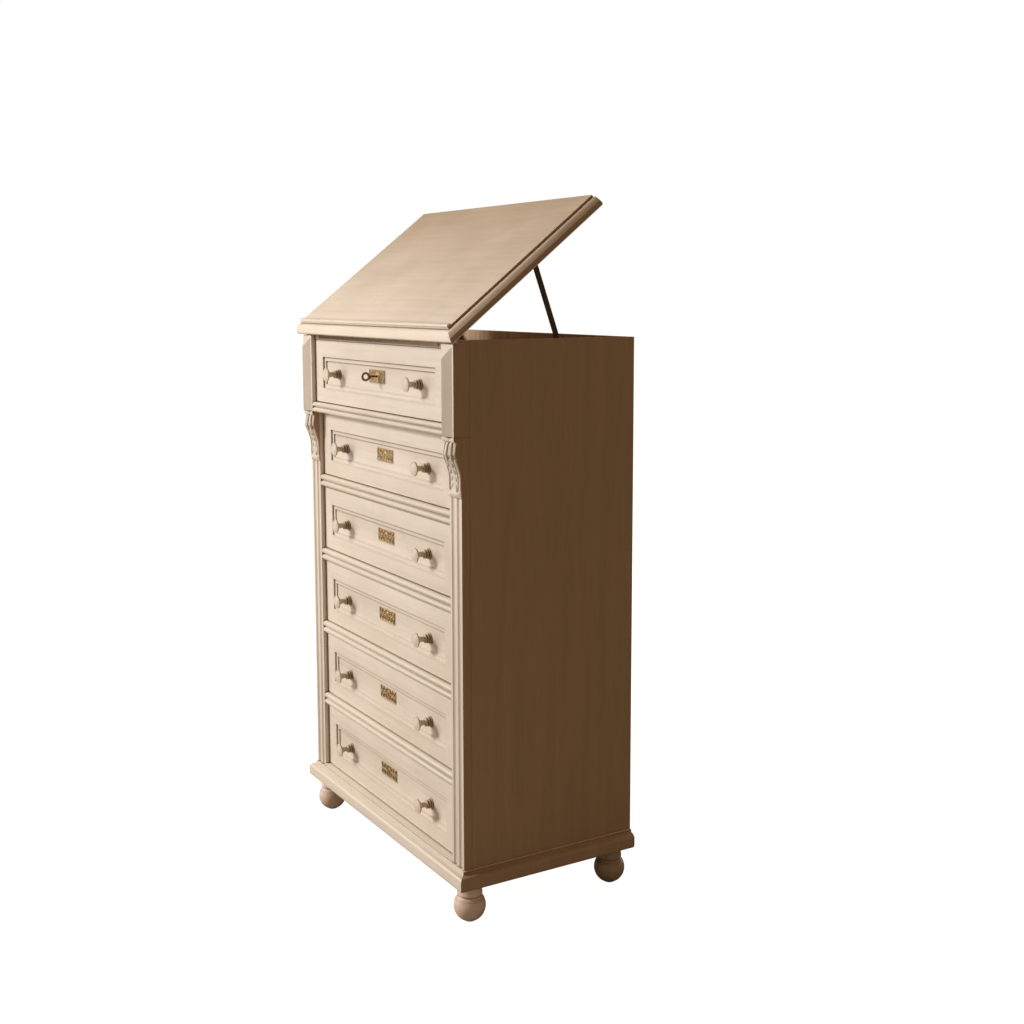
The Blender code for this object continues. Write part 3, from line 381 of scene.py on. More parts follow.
def refined(node, rounding, before):
    """The node's own shape, its flat faces made whole, changed by a function, and its edges eased."""
    bm = bmesh.new()
    bm.from_mesh(NODES[node].data)
    bmesh.ops.remove_doubles(bm, verts=bm.verts, dist=SAME_POINT)
    bmesh.ops.dissolve_limit(bm, angle_limit=FLAT, verts=bm.verts, edges=bm.edges, delimit={"NORMAL"})
    if before:
        before(bm)
    sharp = [e for e in bm.edges if e.is_manifold and e.calc_face_angle() > SHARP]
    bmesh.ops.bevel(bm, geom=sharp, offset=rounding, segments=2, profile=0.6, affect="EDGES",
                    clamp_overlap=True)
    bmesh.ops.remove_doubles(bm, verts=bm.verts, dist=SAME_POINT)
    return bm


def dressed(node, materials, choose=None, rounding=EDGE_ROUND, split_y=None, before=None):
    """A refined copy of a node, with the material of each face chosen by a function.

    A node split at a depth has its second material behind that plane.
    """
    bm = refined(node, rounding, before)
    if split_y is not None:
        everything = bm.verts[:] + bm.edges[:] + bm.faces[:]
        bmesh.ops.bisect_plane(bm, geom=everything, plane_co=(0, split_y, 0), plane_no=(0, 1, 0))
        for face in bm.faces:
            face.material_index = int(face.calc_center_median().y > split_y)
    if choose:
        for face in bm.faces:
            face.material_index = choose(face)
    add_piece(node, bm, materials)


def turned(points, steps, place):
    """Surface of revolution of (radius, height) points in millimetres about Z, moved by a matrix."""
    bm = bmesh.new()
    verts = [bm.verts.new((radius / 1000, 0, height / 1000)) for radius, height in points]
    edges = [bm.edges.new(pair) for pair in zip(verts, verts[1:])]
    bmesh.ops.spin(bm, geom=verts + edges, angle=2 * pi, steps=steps, axis=(0, 0, 1), use_merge=True)
    bmesh.ops.remove_doubles(bm, verts=bm.verts, dist=SAME_TURNED_POINT)
    bmesh.ops.recalc_face_normals(bm, faces=bm.faces)
    bm.transform(place)
    return bm


def bow(middle, radii, start, end, steps):
    """Points of an elliptic arc, angles in degrees from the first axis towards the second."""
    angles = [radians(start + (end - start) * i / steps) for i in range(steps + 1)]
    return [(middle[0] + radii[0] * cos(a), middle[1] + radii[1] * sin(a)) for a in angles]


# Case

# How far the paint on a rail runs in under the drawer above it
LEDGE_PAINT = 0.003

# How squarely a post's side looks sideways, and how near the plane of the case's side it lies
SIDEWAYS = 0.8
SIDE_PLANE = 0.001

# Plinth moulding: distance out from the case and height in millimetres, from the underside up
PLINTH_LOWER = ((9.5, 9.0), (8.5, 9.0))
PLINTH_UPPER = ((10.0, 24.0), (8.0, 9.0))
PLINTH_COVE = [(11.6, 33.6), (8.2, 34.6), (5.6, 36.0), (3.9, 37.6)]
PLINTH_BEAD = ((3.2, 40.3), (1.7, 1.7))
PLINTH_TOP = (0.0, 42.0)
PLINTH_BACKWARD = 0.7
PLINTH_DOWNWARD = 0.9

BACK_BOARDS = 6
BOARD_EDGE = 0.0018
BOARD_GAP = 0.0002


def outer_side(face):
    """The outer side of a post or pilaster, brown as the case's sides are."""
    outermost = abs(face.calc_center_median().x) > HALF_CASE - SIDE_PLANE
    return int(outermost and abs(face.normal.x) > SIDEWAYS)


def plinth_coat(normal):
    """Cream in front, brown along the sides, bare behind and underneath."""
    if normal.y > PLINTH_BACKWARD or normal.z < -PLINTH_DOWNWARD:
        return 2
    return int(abs(normal.x) > abs(normal.y))


def mould_plinth():
    """Plinth with a rounded moulding and a bead along its front and sides, and a flat back."""
    low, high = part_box("plinth")
    outline = bow(*PLINTH_LOWER, -90, 0, 6) + bow(*PLINTH_UPPER, 0, 72, 8) + PLINTH_COVE
    outline += bow(*PLINTH_BEAD, -90, 90, 8) + [PLINTH_TOP]
    bm = bmesh.new()
    rings = []
    for out, up in outline:
        half = HALF_CASE + out / 1000
        front = FRONT_Y - out / 1000
        corners = [(-half, front), (half, front), (half, high.y), (-half, high.y)]
        rings.append([bm.verts.new((x, y, low.z + up / 1000)) for x, y in corners])
    for here, there in zip(rings, rings[1:]):
        for k in range(4):
            bm.faces.new((here[k - 1], here[k], there[k], there[k - 1]))
    bm.faces.new(rings[0])
    bm.faces.new(rings[-1])
    bmesh.ops.recalc_face_normals(bm, faces=bm.faces)
    for face in bm.faces:
        face.material_index = plinth_coat(face.normal)
    add_piece("plinth", bm, [PAINT_LEVEL, SIDE_BROWN, BARE_LEVEL])


def board_back():
    """The back panel as upright boards with eased edges that meet in fine grooves."""
    low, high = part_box("back_panel")
    width = (high.x - low.x) / BACK_BOARDS
    bm = bmesh.new()
    for i in range(BACK_BOARDS):
        board = bmesh.ops.create_cube(bm, size=1.0)["verts"]
        size = Matrix.Diagonal((width - BOARD_GAP, high.y - low.y, high.z - low.z, 1))
        middle = ((low.x + (i + 0.5) * width), (low.y + high.y) / 2, (low.z + high.z) / 2)
        bmesh.ops.transform(bm, matrix=Matrix.Translation(middle) @ size, verts=board)
    bmesh.ops.bevel(bm, geom=list(bm.edges), offset=BOARD_EDGE, segments=2, profile=0.5, affect="EDGES")
    for face in bm.faces:
        face.material_index = int(face.normal.y < -MOSTLY and face.calc_center_median().z > WELL_FLOOR)
    add_piece("back_panel", bm, [BARE_UPRIGHT, WELL_STAIN])


def dress_case():
    for side in ("left", "right"):
        dressed(f"{side}_side", [SIDE_BROWN], rounding=THIN_ROUND)
        for node in (f"upper_post_{side}", f"pilaster_{side}"):
            dressed(node, [PAINT_UPRIGHT, SIDE_BROWN], outer_side, rounding=POST_ROUND)
        carve_corbel(side)
        for end in ("front", "back"):
            turn_foot(f"foot_{end}_{side}")
    mould_plinth()
    # The rail's front under the lid takes the darker paint: painted shade
    dressed("top_rail", [PAINT_SHADED, SIDE_BROWN], split_y=FRONT_Y)
    for i in range(1, DRAWERS + 1):
        node = f"drawer_divider_{i}" if i < DRAWERS else "bottom_board"
        split_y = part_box(f"drawer_{i}_front")[0].y + LEDGE_PAINT
        dressed(node, [PAINT_LEVEL, BARE_LEVEL], split_y=split_y)
    dressed("top_board", [WELL_STAIN])
    board_back()
    dressed("hinge_case_leaf", [SHADED_BRASS], rounding=LEAF_ROUND)


# Lid and stay

LID_AXIS = Vector(LID_HINGE["pos_m"])
LID_TILT = radians(-LID_HINGE["range_deg"][0])
STEEP_SIDE = 0.855

# The back ends of the side mouldings: how square to the back, how far sideways, and how round they are
LID_BACK = 0.99
LID_END_SIDE = 0.3
LID_END_ROUND = 0.007

# The moulded edge on the shut lid: how far in it runs, the height of its foot, and how much it is filled
EDGE_RUN = 0.019
EDGE_FOOT = 0.0085
EDGE_FILL = 0.003


def under_or_side(face):
    """The lid's underside, brown as the case's sides are, and the steep faces of its side edges, whose
    brown is painted shade.
    """
    normal = face.normal
    return int((normal.y > MOSTLY and normal.z < -MOSTLY) or abs(normal.x) > STEEP_SIDE)


def shape_lid(bm):
    """Make the moulded edge fuller, measured on the shut lid, then ease its back ends."""
    shut = Matrix.Rotation(-LID_TILT, 4, "X") @ Matrix.Translation(-LID_AXIS)
    bm.transform(shut)
    front = min(vert.co.y for vert in bm.verts)
    half = max(vert.co.x for vert in bm.verts)
    foot = min(vert.co.z for vert in bm.verts) + EDGE_FOOT
    for vert in bm.verts:
        share = min(half - abs(vert.co.x), vert.co.y - front) / EDGE_RUN
        if 0 < share < 1 and vert.co.z > foot:
            vert.co.z += EDGE_FILL * sin(pi * share)
    bm.transform(shut.inverted())
    bm.normal_update()
    round_lid_ends(bm)


def round_lid_ends(bm):
    """Ease the back ends of the lid's side mouldings, where the nose turns the corner."""
    back = Vector((0, cos(LID_TILT), sin(LID_TILT)))
    ends = []
    for edge in bm.edges:
        if len(edge.link_faces) == 2:
            one, two = edge.link_faces
            if two.normal.dot(back) > LID_BACK:
                one, two = two, one
            if one.normal.dot(back) > LID_BACK and abs(two.normal.x) > LID_END_SIDE:
                ends.append(edge)
    bmesh.ops.bevel(bm, geom=ends, offset=LID_END_ROUND, segments=4, profile=0.5, affect="EDGES",
                    clamp_overlap=True)


def dress_lid():
    dressed("lid", [PAINT_LID_LIT_AND_SHADED, SIDE_BROWN], under_or_side, before=shape_lid)
    dressed("lid_ledge", [PAINT_LID_LIT_AND_SHADED])
    dressed("hinge_lid_leaf", [SHADED_BRASS], rounding=LEAF_ROUND)
    dressed("stay_bracket", [DARK_IRON], rounding=POST_ROUND)
    dressed("stay", [DARK_IRON], rounding=STAY_ROUND)


# Drawers

FRONT_PAINT_DEPTH = 0.015
FOOT_EASE = 0.0018
FOOT_DOWNWARD = 0.4
ON_EDGE = 1e-5


def ease_foot(bm):
    """Chamfer the lower front edge of a drawer front, which leaves the dark line over the rail."""
    front = min(vert.co.y for vert in bm.verts) + ON_EDGE
    foot = min(vert.co.z for vert in bm.verts) + ON_EDGE
    edges = [e for e in bm.edges if all(v.co.y < front and v.co.z < foot for v in e.verts)]
    bmesh.ops.bevel(bm, geom=edges, offset=FOOT_EASE, segments=1, affect="EDGES", clamp_overlap=True)


def dress_front(node):
    """Drawer front with cream paint round to its edges, a chamfer below darkened as painted shade, and
    bare wood behind.
    """
    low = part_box(node)[0]

    def coat(face):
        middle = face.calc_center_median()
        if middle.y > low.y + FRONT_PAINT_DEPTH:
            return 1
        # The chamfer takes the darker paint: painted shade over the rail
        return 2 if face.normal.z < -FOOT_DOWNWARD and middle.z < low.z + 2 * FOOT_EASE else 0

    dressed(node, [PAINT_LEVEL, BARE_LEVEL, PAINT_SHADED], coat, before=ease_foot)


def end_board(face):
    """The faces of a drawer box that look forward or back, where the grain runs across."""
    return int(abs(face.normal.y) > MOSTLY)


def dress_drawers():
    for i in range(1, DRAWERS + 1):
        dress_front(f"drawer_{i}_front")
        dressed(f"drawer_{i}_box", [BARE_DEEP, BARE_LEVEL], end_board)
        for side in ("left", "right"):
            turn_knob(f"drawer_{i}_knob_{side}")
        pierce_plate(f"drawer_{i}_escutcheon")
    forge_key()
    dressed("lock_bolt", [DARK_IRON], rounding=THIN_ROUND)


# Carved corbels

# Sizes in millimetres: down from the corbel's top, across from its middle, and out from the pilaster
CORBEL_DROP = 127.0
HALF_ACROSS = 25.25
OUTER_SPREAD = 2.0
COLLAR_DROP = 9.0
COLLAR_OUT = 19.0
COLLAR_OVOLO = 2.4
FOOT_DROP = 112.0
FOOT_OUT = (1.6, 5.2)
FOOT_SWELL = (0.2, 0.7)
LEAST_OUT = 0.8
GRID_STEP = 0.75
SIDE_SHARE = 0.99
# Level, distance out at the edges, and how much fuller the middle is
FORM = [
    (9.0, 12.0, 5.0), (15.0, 12.5, 8.0), (35.0, 14.5, 9.5), (47.0, 11.5, 7.5),
    (63.0, 6.5, 4.5), (76.0, 2.6, 3.4), (90.0, 1.4, 3.0), (112.0, 1.4, 3.0),
]
# Leaves: start and end of each lobe as across and down, its width and its height
LEAF_TIP = 44.0
LEAF_GROUND = -1.8
LEAF_LOBES = [
    ((0.0, 9.0), (0.0, 53.0), 6.8, 2.8),
    ((11.8, 9.0), (15.0, 48.0), 6.0, 2.6),
    ((21.8, 9.0), (25.8, 43.0), 4.8, 2.3),
]
# A lobe widens and rises from its root towards its rounded tip, and has a vein down its middle
LOBE_SPREAD = (0.62, 0.38)
LOBE_RISE = (0.7, 0.5)
TIP_STEEPNESS = 3.2
TIP_ROUND = 0.7
VEIN_DEPTH = 0.8
# Rim and groove as shares of the half width, and husks as level and height
RIM_SPAN = (0.78, 1.0)
RIM_HEIGHT = 1.9
GROOVE_SPAN = (0.58, 0.78)
GROOVE_DEPTH = 1.9
HUSKS = [(49.0, 2.8), (64.0, 2.6), (79.0, 2.0), (94.0, 1.8)]
HUSK_START = 0.8
HUSK_RUN = (11.0, 13.0)
HUSK_WIDTH = 4.4
EYE_PLACE = (14.5, 111.0)
EYE_RADIUS = 3.6
EYE_DEPTH = 4.0


def corbel_out(across, down):
    """How far the plain form stands out: collar, full leaf, sweep to a thin waist, foot block."""
    full = 1 - (across / HALF_ACROSS) ** 2
    if down < COLLAR_DROP:
        return COLLAR_OUT - COLLAR_OVOLO * (down / COLLAR_DROP) ** 3
    if down > FOOT_DROP:
        share = (down - FOOT_DROP) / (CORBEL_DROP - FOOT_DROP)
        swell = sin(pi * (FOOT_SWELL[0] + FOOT_SWELL[1] * share))
        return FOOT_OUT[0] + FOOT_OUT[1] * (1 - (across / HALF_ACROSS) ** 4) * swell
    above = max(row for row in FORM if row[0] <= down)
    below = min(row for row in FORM if row[0] >= down)
    share = (down - above[0]) / max(below[0] - above[0], 1e-6)
    at_edge = above[1] + (below[1] - above[1]) * share
    return at_edge + (above[2] + (below[2] - above[2]) * share) * full


def lobe(across, down, start, end, width, height):
    """Height of one carved leaf lobe: a pointed ridge from start to end with a veined middle."""
    run = (end[0] - start[0], end[1] - start[1])
    length = sqrt(run[0] ** 2 + run[1] ** 2)
    along = ((across - start[0]) * run[0] + (down - start[1]) * run[1]) / length ** 2
    if not 0 < along < 1:
        return 0.0
    off = abs((across - start[0]) * run[1] - (down - start[1]) * run[0]) / length
    tip = min(1.0, TIP_STEEPNESS * (1 - along)) ** TIP_ROUND
    half = width * (LOBE_SPREAD[0] + LOBE_SPREAD[1] * along) * tip
    if off >= half:
        return 0.0
    vein = VEIN_DEPTH * exp(-off ** 2)
    return (height * sqrt(1 - (off / half) ** 2) - vein) * (LOBE_RISE[0] + LOBE_RISE[1] * along)


def arch(value, span):
    """Half-round from 0 at both ends of a span to 1 in its middle."""
    share = (value - span[0]) / (span[1] - span[0])
    return sqrt(1 - (2 * share - 1) ** 2) if 0 < share < 1 else 0.0


def corbel_relief(across, down):
    """Carving on the plain form: acanthus lobes, rim and groove down each side, husks, scroll eyes."""
    side = abs(across)
    if down < COLLAR_DROP:
        return 0.0
    edge = side / HALF_ACROSS
    height = max(lobe(side, down, *spec) for spec in LEAF_LOBES)
    if height == 0.0 and down < LEAF_TIP:
        height = LEAF_GROUND
    elif height == 0.0 and down < FOOT_DROP:
        height = RIM_HEIGHT * arch(edge, RIM_SPAN) - GROOVE_DEPTH * arch(edge, GROOVE_SPAN)
        husks = []
        for top, rise in HUSKS:
            tip = (HUSK_RUN[0], top + HUSK_RUN[1])
            husks.append(lobe(side, down, (HUSK_START, top), tip, HUSK_WIDTH, rise))
        height += max(husks)
    eye = sqrt((side - EYE_PLACE[0]) ** 2 + (down - EYE_PLACE[1]) ** 2) / EYE_RADIUS
    return height - EYE_DEPTH * exp(-eye ** 4)


def carve_corbel(side):
    """Corbel with its front carved on a fine grid and its two side faces brown as the case's sides are.
    """
    node = f"corbel_{side}"
    low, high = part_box(node)
    middle = (low.x + high.x) / 2
    half = (high.x - low.x) / 2
    rows = int(CORBEL_DROP / GRID_STEP) + 1
    columns = int(2 * HALF_ACROSS / GRID_STEP) + 1
    bm = bmesh.new()
    bmesh.ops.create_grid(bm, x_segments=columns, y_segments=rows, size=1.0)
    for vert in bm.verts:
        down = CORBEL_DROP * (1 - vert.co.y) / 2
        across = HALF_ACROSS * vert.co.x
        out = max(corbel_out(across, down) + corbel_relief(across, down), LEAST_OUT)
        spread = OUTER_SPREAD / 1000 if vert.co.x * middle > 0 else 0.0
        vert.co = (middle + (half + spread) * vert.co.x, FRONT_Y - out / 1000, high.z - down / 1000)
    rim = [edge for edge in bm.edges if edge.is_boundary]
    grown = bmesh.ops.extrude_edge_only(bm, edges=rim)["geom"]
    for item in grown:
        if isinstance(item, bmesh.types.BMVert):
            item.co.y = high.y
    for item in grown:
        if isinstance(item, bmesh.types.BMFace):
            item.material_index = int(abs(item.calc_center_median().x - middle) > SIDE_SHARE * half)
    bmesh.ops.holes_fill(bm, edges=[edge for edge in bm.edges if edge.is_boundary], sides=0)
    bmesh.ops.recalc_face_normals(bm, faces=bm.faces)
    add_piece(node, bm, [PAINT_CARVED, SIDE_BROWN])


# Turned feet and knobs, with profiles in millimetres

FOOT_STEPS = 56
BALL = ((0, 34), (35.5, 35.5))
BALL_UNDER = ((0, 34), (35.5, 35.6))
FOOT_TOP = 83.7

KNOB_STEPS = 40
KNOB_LENGTH = 38.7
KNOB_FACE = 36.3


def foot_points():
    """Bun foot from its flat underside up: ball with two grooves, collar, neck."""
    points = [(0, 0), (12.6, 0)] + bow((12.6, 1.0), (1.0, 1.0), -90, -30, 3)
    points += bow(*BALL_UNDER, -67, 0, 18)[:-1]
    points += bow(*BALL, 0, 25, 8) + [(31.0, 49.6)]
    points += bow(*BALL, 27.5, 30.5, 2) + [(29.2, 52.6)]
    points += bow(*BALL, 33, 43, 5)
    points += [(25.2, 58.9), (25.2, 59.8)] + bow((26.0, 62.2), (2.2, 1.9), -75, 10, 6)
    points += [(28.0, 65.0), (27.4, 69.0), (26.5, 74.0), (25.6, 79.0), (25.2, 82.0)]
    return points + [(25.0, FOOT_TOP), (0, FOOT_TOP)]


def turn_foot(node):
    low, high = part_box(node)
    place = Matrix.Translation(((low.x + high.x) / 2, (low.y + high.y) / 2, 0))
    # Rear feet take the darker paint: painted shade
    coat = PAINT_REAR_SHADED if "back" in node else PAINT_FOOT
    add_piece(node, turned(foot_points(), FOOT_STEPS, place), [coat])


def knob_points():
    """Knob from the drawer front out: base, two rings, neck, flare, rim and a domed face."""
    points = [(0, 0), (11.4, 0)] + bow((10.6, 1.4), (1.4, 1.4), -60, 80, 8)
    points += [(7.4, 3.4), (6.8, 4.6)] + bow((7.6, 7.0), (3.4, 1.4), -80, 80, 10)
    points += [(6.6, 9.2), (6.2, 10.4)] + bow((7.0, 12.8), (3.0, 1.4), -80, 80, 10)
    points += [(6.0, 15.2), (5.6, 17.0), (5.7, 20.0)]
    points += bow((16.5, 21.0), (10.5, 12.2), 177, 98, 14)
    points += [(16.2, 33.2), (16.5, 33.8), (16.5, 35.8)] + bow((15.9, 35.9), (0.6, 0.6), 10, 80, 3)
    points += [(14.0, 36.8), (13.4, 36.5), (12.8, 36.9)]
    points += bow((0, 35.4), (13.6, 3.3), 27, 90, 10)[:-1]
    return points + [(0, KNOB_LENGTH)]


def turn_knob(node):
    """Knob with a plain face; the flare, neck and rings behind its rim take a darker copy of the paint,
    painted shade, with dirt in the rings.
    """
    low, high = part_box(node)
    place = Matrix.Translation(((low.x + high.x) / 2, high.y, (low.z + high.z) / 2))
    bm = turned(knob_points(), KNOB_STEPS, place @ Matrix.Rotation(pi / 2, 4, "X"))
    face_y = high.y - KNOB_FACE / 1000
    for face in bm.faces:
        face.material_index = int(face.calc_center_median().y > face_y)
    add_piece(node, bm, [PAINT_LEVEL, PAINT_NECK_SHADED])


# Brass plates and key

# Sizes in millimetres from the keyhole's middle, wires as half width and height
WIRE_SIDES = 8
PLATE_INSET = 1.0
GROUND_OUT = 0.3
FRAME_WIRE = (1.1, 1.0)
SCROLL_WIRE = (0.75, 1.0)
BOSS_RADII = (8.5, 11.0)
BOSS_MIDDLE = -2.0
BOSS_OUT = 1.0
BOSS_STEPS = 64
RIM_STEPS = 48
KEYHOLE_ROUND = 3.0
KEYHOLE_FOOT = -10.0
KEYHOLE_HALF = 1.5
KEYHOLE_BACK = GROUND_OUT + 0.05
# Middle, radius, first angle and sweep of each scroll, and the points of the level bar between them
SCROLLS = [
    ((17.0, 7.0), 6.6, 200, -560),
    ((29.5, 7.2), 6.0, -20, 540),
    ((37.0, 2.9), 2.7, 90, -420),
    ((22.8, 2.2), 2.4, 180, 400),
    ((11.6, 11.4), 2.4, 240, -380),
]
SCROLL_STEP = 18
SCROLL_CLOSING = 0.82
BAR_POINTS = (8.0, 16.0, 24.0, 32.0)

# Key in millimetres: radii of the bow and of its wire, shank, bead on the shank, bit
KEY_BOW = (8.2, 2.7)
KEY_BOW_STEPS = 40
KEY_OVERLAP = 1.0
KEY_SHANK = 2.4
KEY_SHANK_ROOT = 2.0
KEY_SHANK_EASE = 0.4
KEY_SHANK_STEPS = 24
KEY_BEAD = (1.6, 1.2)
KEY_BIT = (2.0, 3.5, 8.0)
# Height of the key's axis over the foot of its plate, in metres
KEY_AXIS_UP = 0.015


def wire(bm, path, size, closed):
    """A half-buried wire in the plate's plane, along (across, up) points in millimetres."""
    count = len(path)
    rings = []
    for i, point in enumerate(path):
        after = path[(i + 1) % count] if closed or i + 1 < count else point
        before = path[i - 1] if closed or i else point
        run = Vector((after[0] - before[0], after[1] - before[1])).normalized()
        ring = []
        for k in range(WIRE_SIDES):
            angle = 2 * pi * k / WIRE_SIDES
            off = size[0] * cos(angle)
            corner = (point[0] - run.y * off, -size[1] * sin(angle), point[1] + run.x * off)
            ring.append(bm.verts.new(corner))
        rings.append(ring)
    for i in range(count if closed else count - 1):
        here, there = rings[i], rings[(i + 1) % count]
        for k in range(WIRE_SIDES):
            bm.faces.new((here[k], here[k - 1], there[k - 1], there[k]))
    if not closed:
        bm.faces.new(rings[0])
        bm.faces.new(rings[-1])


def scroll(middle, radius, start, sweep):
    """Points of a spiral that closes in on its middle."""
    steps = int(abs(sweep) / SCROLL_STEP)
    points = []
    for i in range(steps + 1):
        share = i / steps
        angle = radians(start + sweep * share)
        reach = radius * (1 - SCROLL_CLOSING * share)
        points.append((middle[0] + reach * cos(angle), middle[1] + reach * sin(angle)))
    return points


def keyhole_edge(angle):
    """Point of the keyhole's outline in a direction from its middle, (across, up) in millimetres."""
    down = -sin(angle)
    reach = KEYHOLE_ROUND
    if down > 0 and abs(cos(angle)) * KEYHOLE_ROUND < KEYHOLE_HALF:
        reach = min(-KEYHOLE_FOOT / down, KEYHOLE_HALF / max(abs(cos(angle)), 1e-6))
    return reach * cos(angle), reach * sin(angle)


def boss(bm):
    """Oval plate round the keyhole, cut through by it, and a dark iron face behind it, painted shade in
    the keyhole.
    """
    angles = [2 * pi * i / BOSS_STEPS for i in range(BOSS_STEPS)]
    oval = [(BOSS_RADII[0] * cos(angle), BOSS_RADII[1] * sin(angle) + BOSS_MIDDLE) for angle in angles]
    hole = [keyhole_edge(angle) for angle in angles]
    rings = []
    for outline, out in ((oval, 0.0), (oval, BOSS_OUT), (hole, BOSS_OUT), (hole, KEYHOLE_BACK)):
        rings.append([bm.verts.new((across, -out, up)) for across, up in outline])
    for here, there in zip(rings, rings[1:]):
        for k in range(BOSS_STEPS):
            bm.faces.new((here[k - 1], here[k], there[k], there[k - 1]))
    bm.faces.new(rings[0])
    # Dark iron face behind the keyhole: painted shade
    dark = bm.faces.new(rings[-1])
    dark.material_index = 1


def pierce_plate(node):
    """Chased escutcheon: brown ground, wire frame, oval boss with its keyhole, and mirrored scrolls."""
    low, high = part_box(node)
    half_w = (high.x - low.x) * 500 - PLATE_INSET
    half_h = (high.z - low.z) * 500 - PLATE_INSET
    bm = bmesh.new()
    ground = bmesh.ops.create_cube(bm, size=1.0)["verts"]
    bmesh.ops.scale(bm, vec=(2 * half_w, GROUND_OUT, 2 * half_h), verts=ground)
    bmesh.ops.translate(bm, vec=(0, -GROUND_OUT / 2, 0), verts=ground)
    for face in bm.faces:
        face.material_index = 2
    boss(bm)
    rim = bow((0, BOSS_MIDDLE), BOSS_RADII, 0, 360, RIM_STEPS)[:-1]
    wire(bm, rim, SCROLL_WIRE, True)
    border = [(-half_w, -half_h), (half_w, -half_h), (half_w, half_h), (-half_w, half_h)]
    wire(bm, border, FRAME_WIRE, True)
    for spec in SCROLLS:
        path = scroll(*spec)
        for across in (1, -1):
            for up in (1, -1):
                wire(bm, [(across * x, up * z) for x, z in path], SCROLL_WIRE, False)
    for across in (1, -1):
        wire(bm, [(across * x, 0.0) for x in (*BAR_POINTS, half_w)], SCROLL_WIRE, False)
    bmesh.ops.recalc_face_normals(bm, faces=bm.faces)
    place = Matrix.Translation(((low.x + high.x) / 2, high.y, (low.z + high.z) / 2))
    bm.transform(place @ Matrix.Scale(0.001, 4))
    add_piece(node, bm, [OLD_BRASS, DARK_IRON, BROWN_BRASS])


def forge_key():
    """Key with a round wire bow, beaded shank and a plain bit, on the axis of the lock."""
    low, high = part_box("key")
    reach = (high.y - low.y) * 1000
    bow_middle = KEY_BOW[0] + KEY_BOW[1]
    ring = bow((KEY_BOW[0], 0), (KEY_BOW[1], KEY_BOW[1]), 0, 360, 16)
    axis_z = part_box("drawer_1_escutcheon")[0].z + KEY_AXIS_UP
    front = Matrix.Translation((0, low.y, axis_z))
    side_on = Matrix.Translation((0, bow_middle / 1000, 0)) @ Matrix.Rotation(pi / 2, 4, "Y")
    bm = turned(ring, KEY_BOW_STEPS, front @ side_on)
    start = 2 * bow_middle - KEY_OVERLAP
    shank = [(0, start), (KEY_SHANK_ROOT, start)]
    shank += bow((KEY_SHANK, start + KEY_BEAD[0]), KEY_BEAD, -80, 80, 8)
    shank += [(KEY_SHANK, start + 2 * KEY_BEAD[0]), (KEY_SHANK, reach - KEY_SHANK_EASE)]
    shank += [(KEY_SHANK - KEY_SHANK_EASE, reach), (0, reach)]
    rod_place = front @ Matrix.Rotation(-pi / 2, 4, "X")
    rod = finished(turned(shank, KEY_SHANK_STEPS, rod_place), "key_rod")
    bm.from_mesh(rod)
    bpy.data.meshes.remove(rod)
    bit = bmesh.ops.create_cube(bm, size=1.0)["verts"]
    size = Matrix.Diagonal((KEY_BIT[0] / 1000, KEY_BIT[1] / 1000, KEY_BIT[2] / 1000, 1))
    at = Matrix.Translation((0, high.y - KEY_BIT[1] / 2000, axis_z - KEY_BIT[2] / 2000))
    bmesh.ops.transform(bm, matrix=at @ size, verts=bit)
    add_piece("key", bm, [BROWN_BRASS])


# Camera, light and floor

LIGHT_WHITE = (1.0, 0.99, 0.97)
LIGHT_WARM = (1.0, 0.97, 0.93)
WORLD_SHADE = (1.0, 0.78, 0.53, 1.0)
WORLD_STRENGTH = 0.28
WHITE = (1.0, 1.0, 1.0, 1.0)
FLOOR_SIZE = 80.0
FLOOR_DROP = 0.0005
FLOOR_TONES = ((0.39, 0.350, 0.295), (0.42, 0.380, 0.320))
FLOOR_GLOW = 0.97


def add_camera():
    camera = bpy.data.cameras.new("photo_camera")
    camera.sensor_width = SENSOR
    camera.lens = FOCAL_PIXELS / FRAME_PIXELS * SENSOR
    camera.shift_y = (AXIS_PIXEL_Y - FRAME_PIXELS / 2) / FRAME_PIXELS
    view = bpy.data.objects.new("photo_camera", camera)
    turn = Matrix.Rotation(CAMERA_AZIMUTH, 4, "Z") @ Matrix.Rotation(pi / 2 - CAMERA_DIP, 4, "X")
    view.matrix_world = Matrix.Translation(CAMERA_PLACE) @ turn @ Matrix.Rotation(CAMERA_ROLL, 4, "Z")
    bpy.context.scene.collection.objects.link(view)
    bpy.context.scene.camera = view


def add_light(name, place, target, size, power, colour):
    """A square soft light that faces a target."""
    lamp = bpy.data.lights.new(name, "AREA")
    lamp.shape = "RECTANGLE"
    lamp.size = size
    lamp.size_y = size
    lamp.energy = power
    lamp.color = colour
    light = bpy.data.objects.new(name, lamp)
    light.location = place
    light.rotation_euler = (Vector(target) - Vector(place)).to_track_quat("-Z", "Y").to_euler()
    bpy.context.scene.collection.objects.link(light)


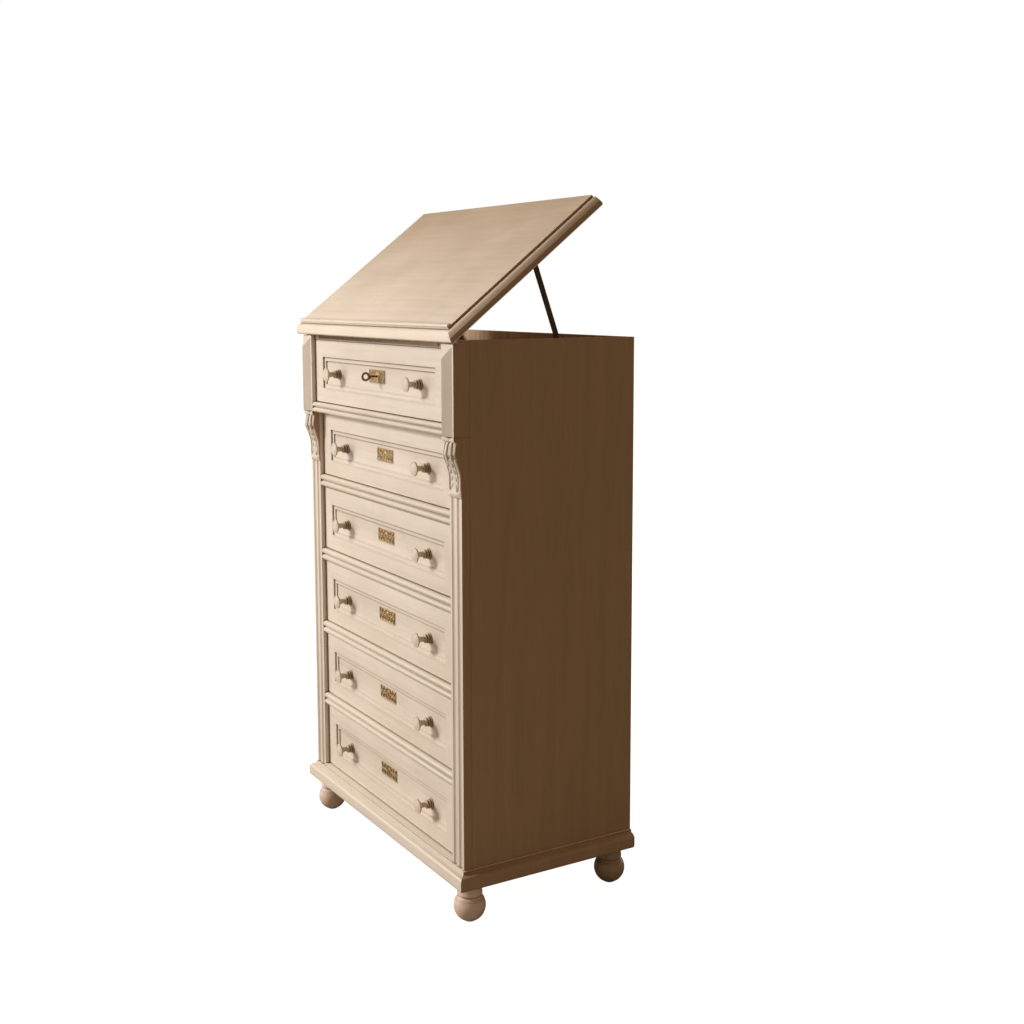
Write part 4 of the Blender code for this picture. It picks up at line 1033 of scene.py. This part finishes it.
def add_world():
    """A white background, which lights the object as a dim warm room does."""
    world = bpy.data.worlds.new("studio")
    world.use_nodes = True
    tree = world.node_tree
    shade = tree.nodes["Background"]
    shade.inputs["Color"].default_value = WORLD_SHADE
    shade.inputs["Strength"].default_value = WORLD_STRENGTH
    bright = tree.nodes.new("ShaderNodeBackground")
    bright.inputs["Color"].default_value = WHITE
    bright.inputs["Strength"].default_value = 1.0
    path = tree.nodes.new("ShaderNodeLightPath")
    pick = tree.nodes.new("ShaderNodeMixShader")
    tree.links.new(path.outputs["Is Camera Ray"], pick.inputs["Fac"])
    tree.links.new(shade.outputs[0], pick.inputs[1])
    tree.links.new(bright.outputs[0], pick.inputs[2])
    tree.links.new(pick.outputs[0], tree.nodes["World Output"].inputs["Surface"])
    bpy.context.scene.world = world


def add_floor():
    """A wide pale floor that glows white in the picture and gives off no light of its own."""
    bm = bmesh.new()
    bmesh.ops.create_grid(bm, x_segments=8, y_segments=8, size=FLOOR_SIZE / 2)
    mesh = finished(bm, "studio_floor")
    floor = bpy.data.objects.new("studio_floor", mesh)
    floor.location.z = -FLOOR_DROP
    bpy.context.scene.collection.objects.link(floor)
    look = Look("pale_floor")
    colour = look.mix(look.span(look.noise(2.0, 3.0), 0.3, 0.7), *FLOOR_TONES)
    material = look.done(colour, 0.85, look.relief(look.noise(60.0), 0.0001, 0.3))
    look.shader.inputs["Emission Color"].default_value = WHITE
    seen = look.add("LightPath").outputs["Is Camera Ray"]
    look.put(look.shader.inputs["Emission Strength"], look.times(seen, FLOOR_GLOW))
    mesh.materials.append(material)


dress_case()
dress_lid()
dress_drawers()
add_camera()
add_world()
add_light("key_light", (-4.19, -7.17, 4.7), (0.0, -0.2, 0.8), 2.0, 555.0, LIGHT_WHITE)
add_light("left_light", (-2.2, -2.6, 1.05), (0.0, -0.2, 0.5), 1.2, 30.0, LIGHT_WHITE)
add_light("back_light", (-1.4, 4.2, 1.9), (0.0, 0.2, 0.8), 1.6, 45.0, LIGHT_WARM)
add_floor()
bpy.context.scene.view_settings.view_transform = "Standard"
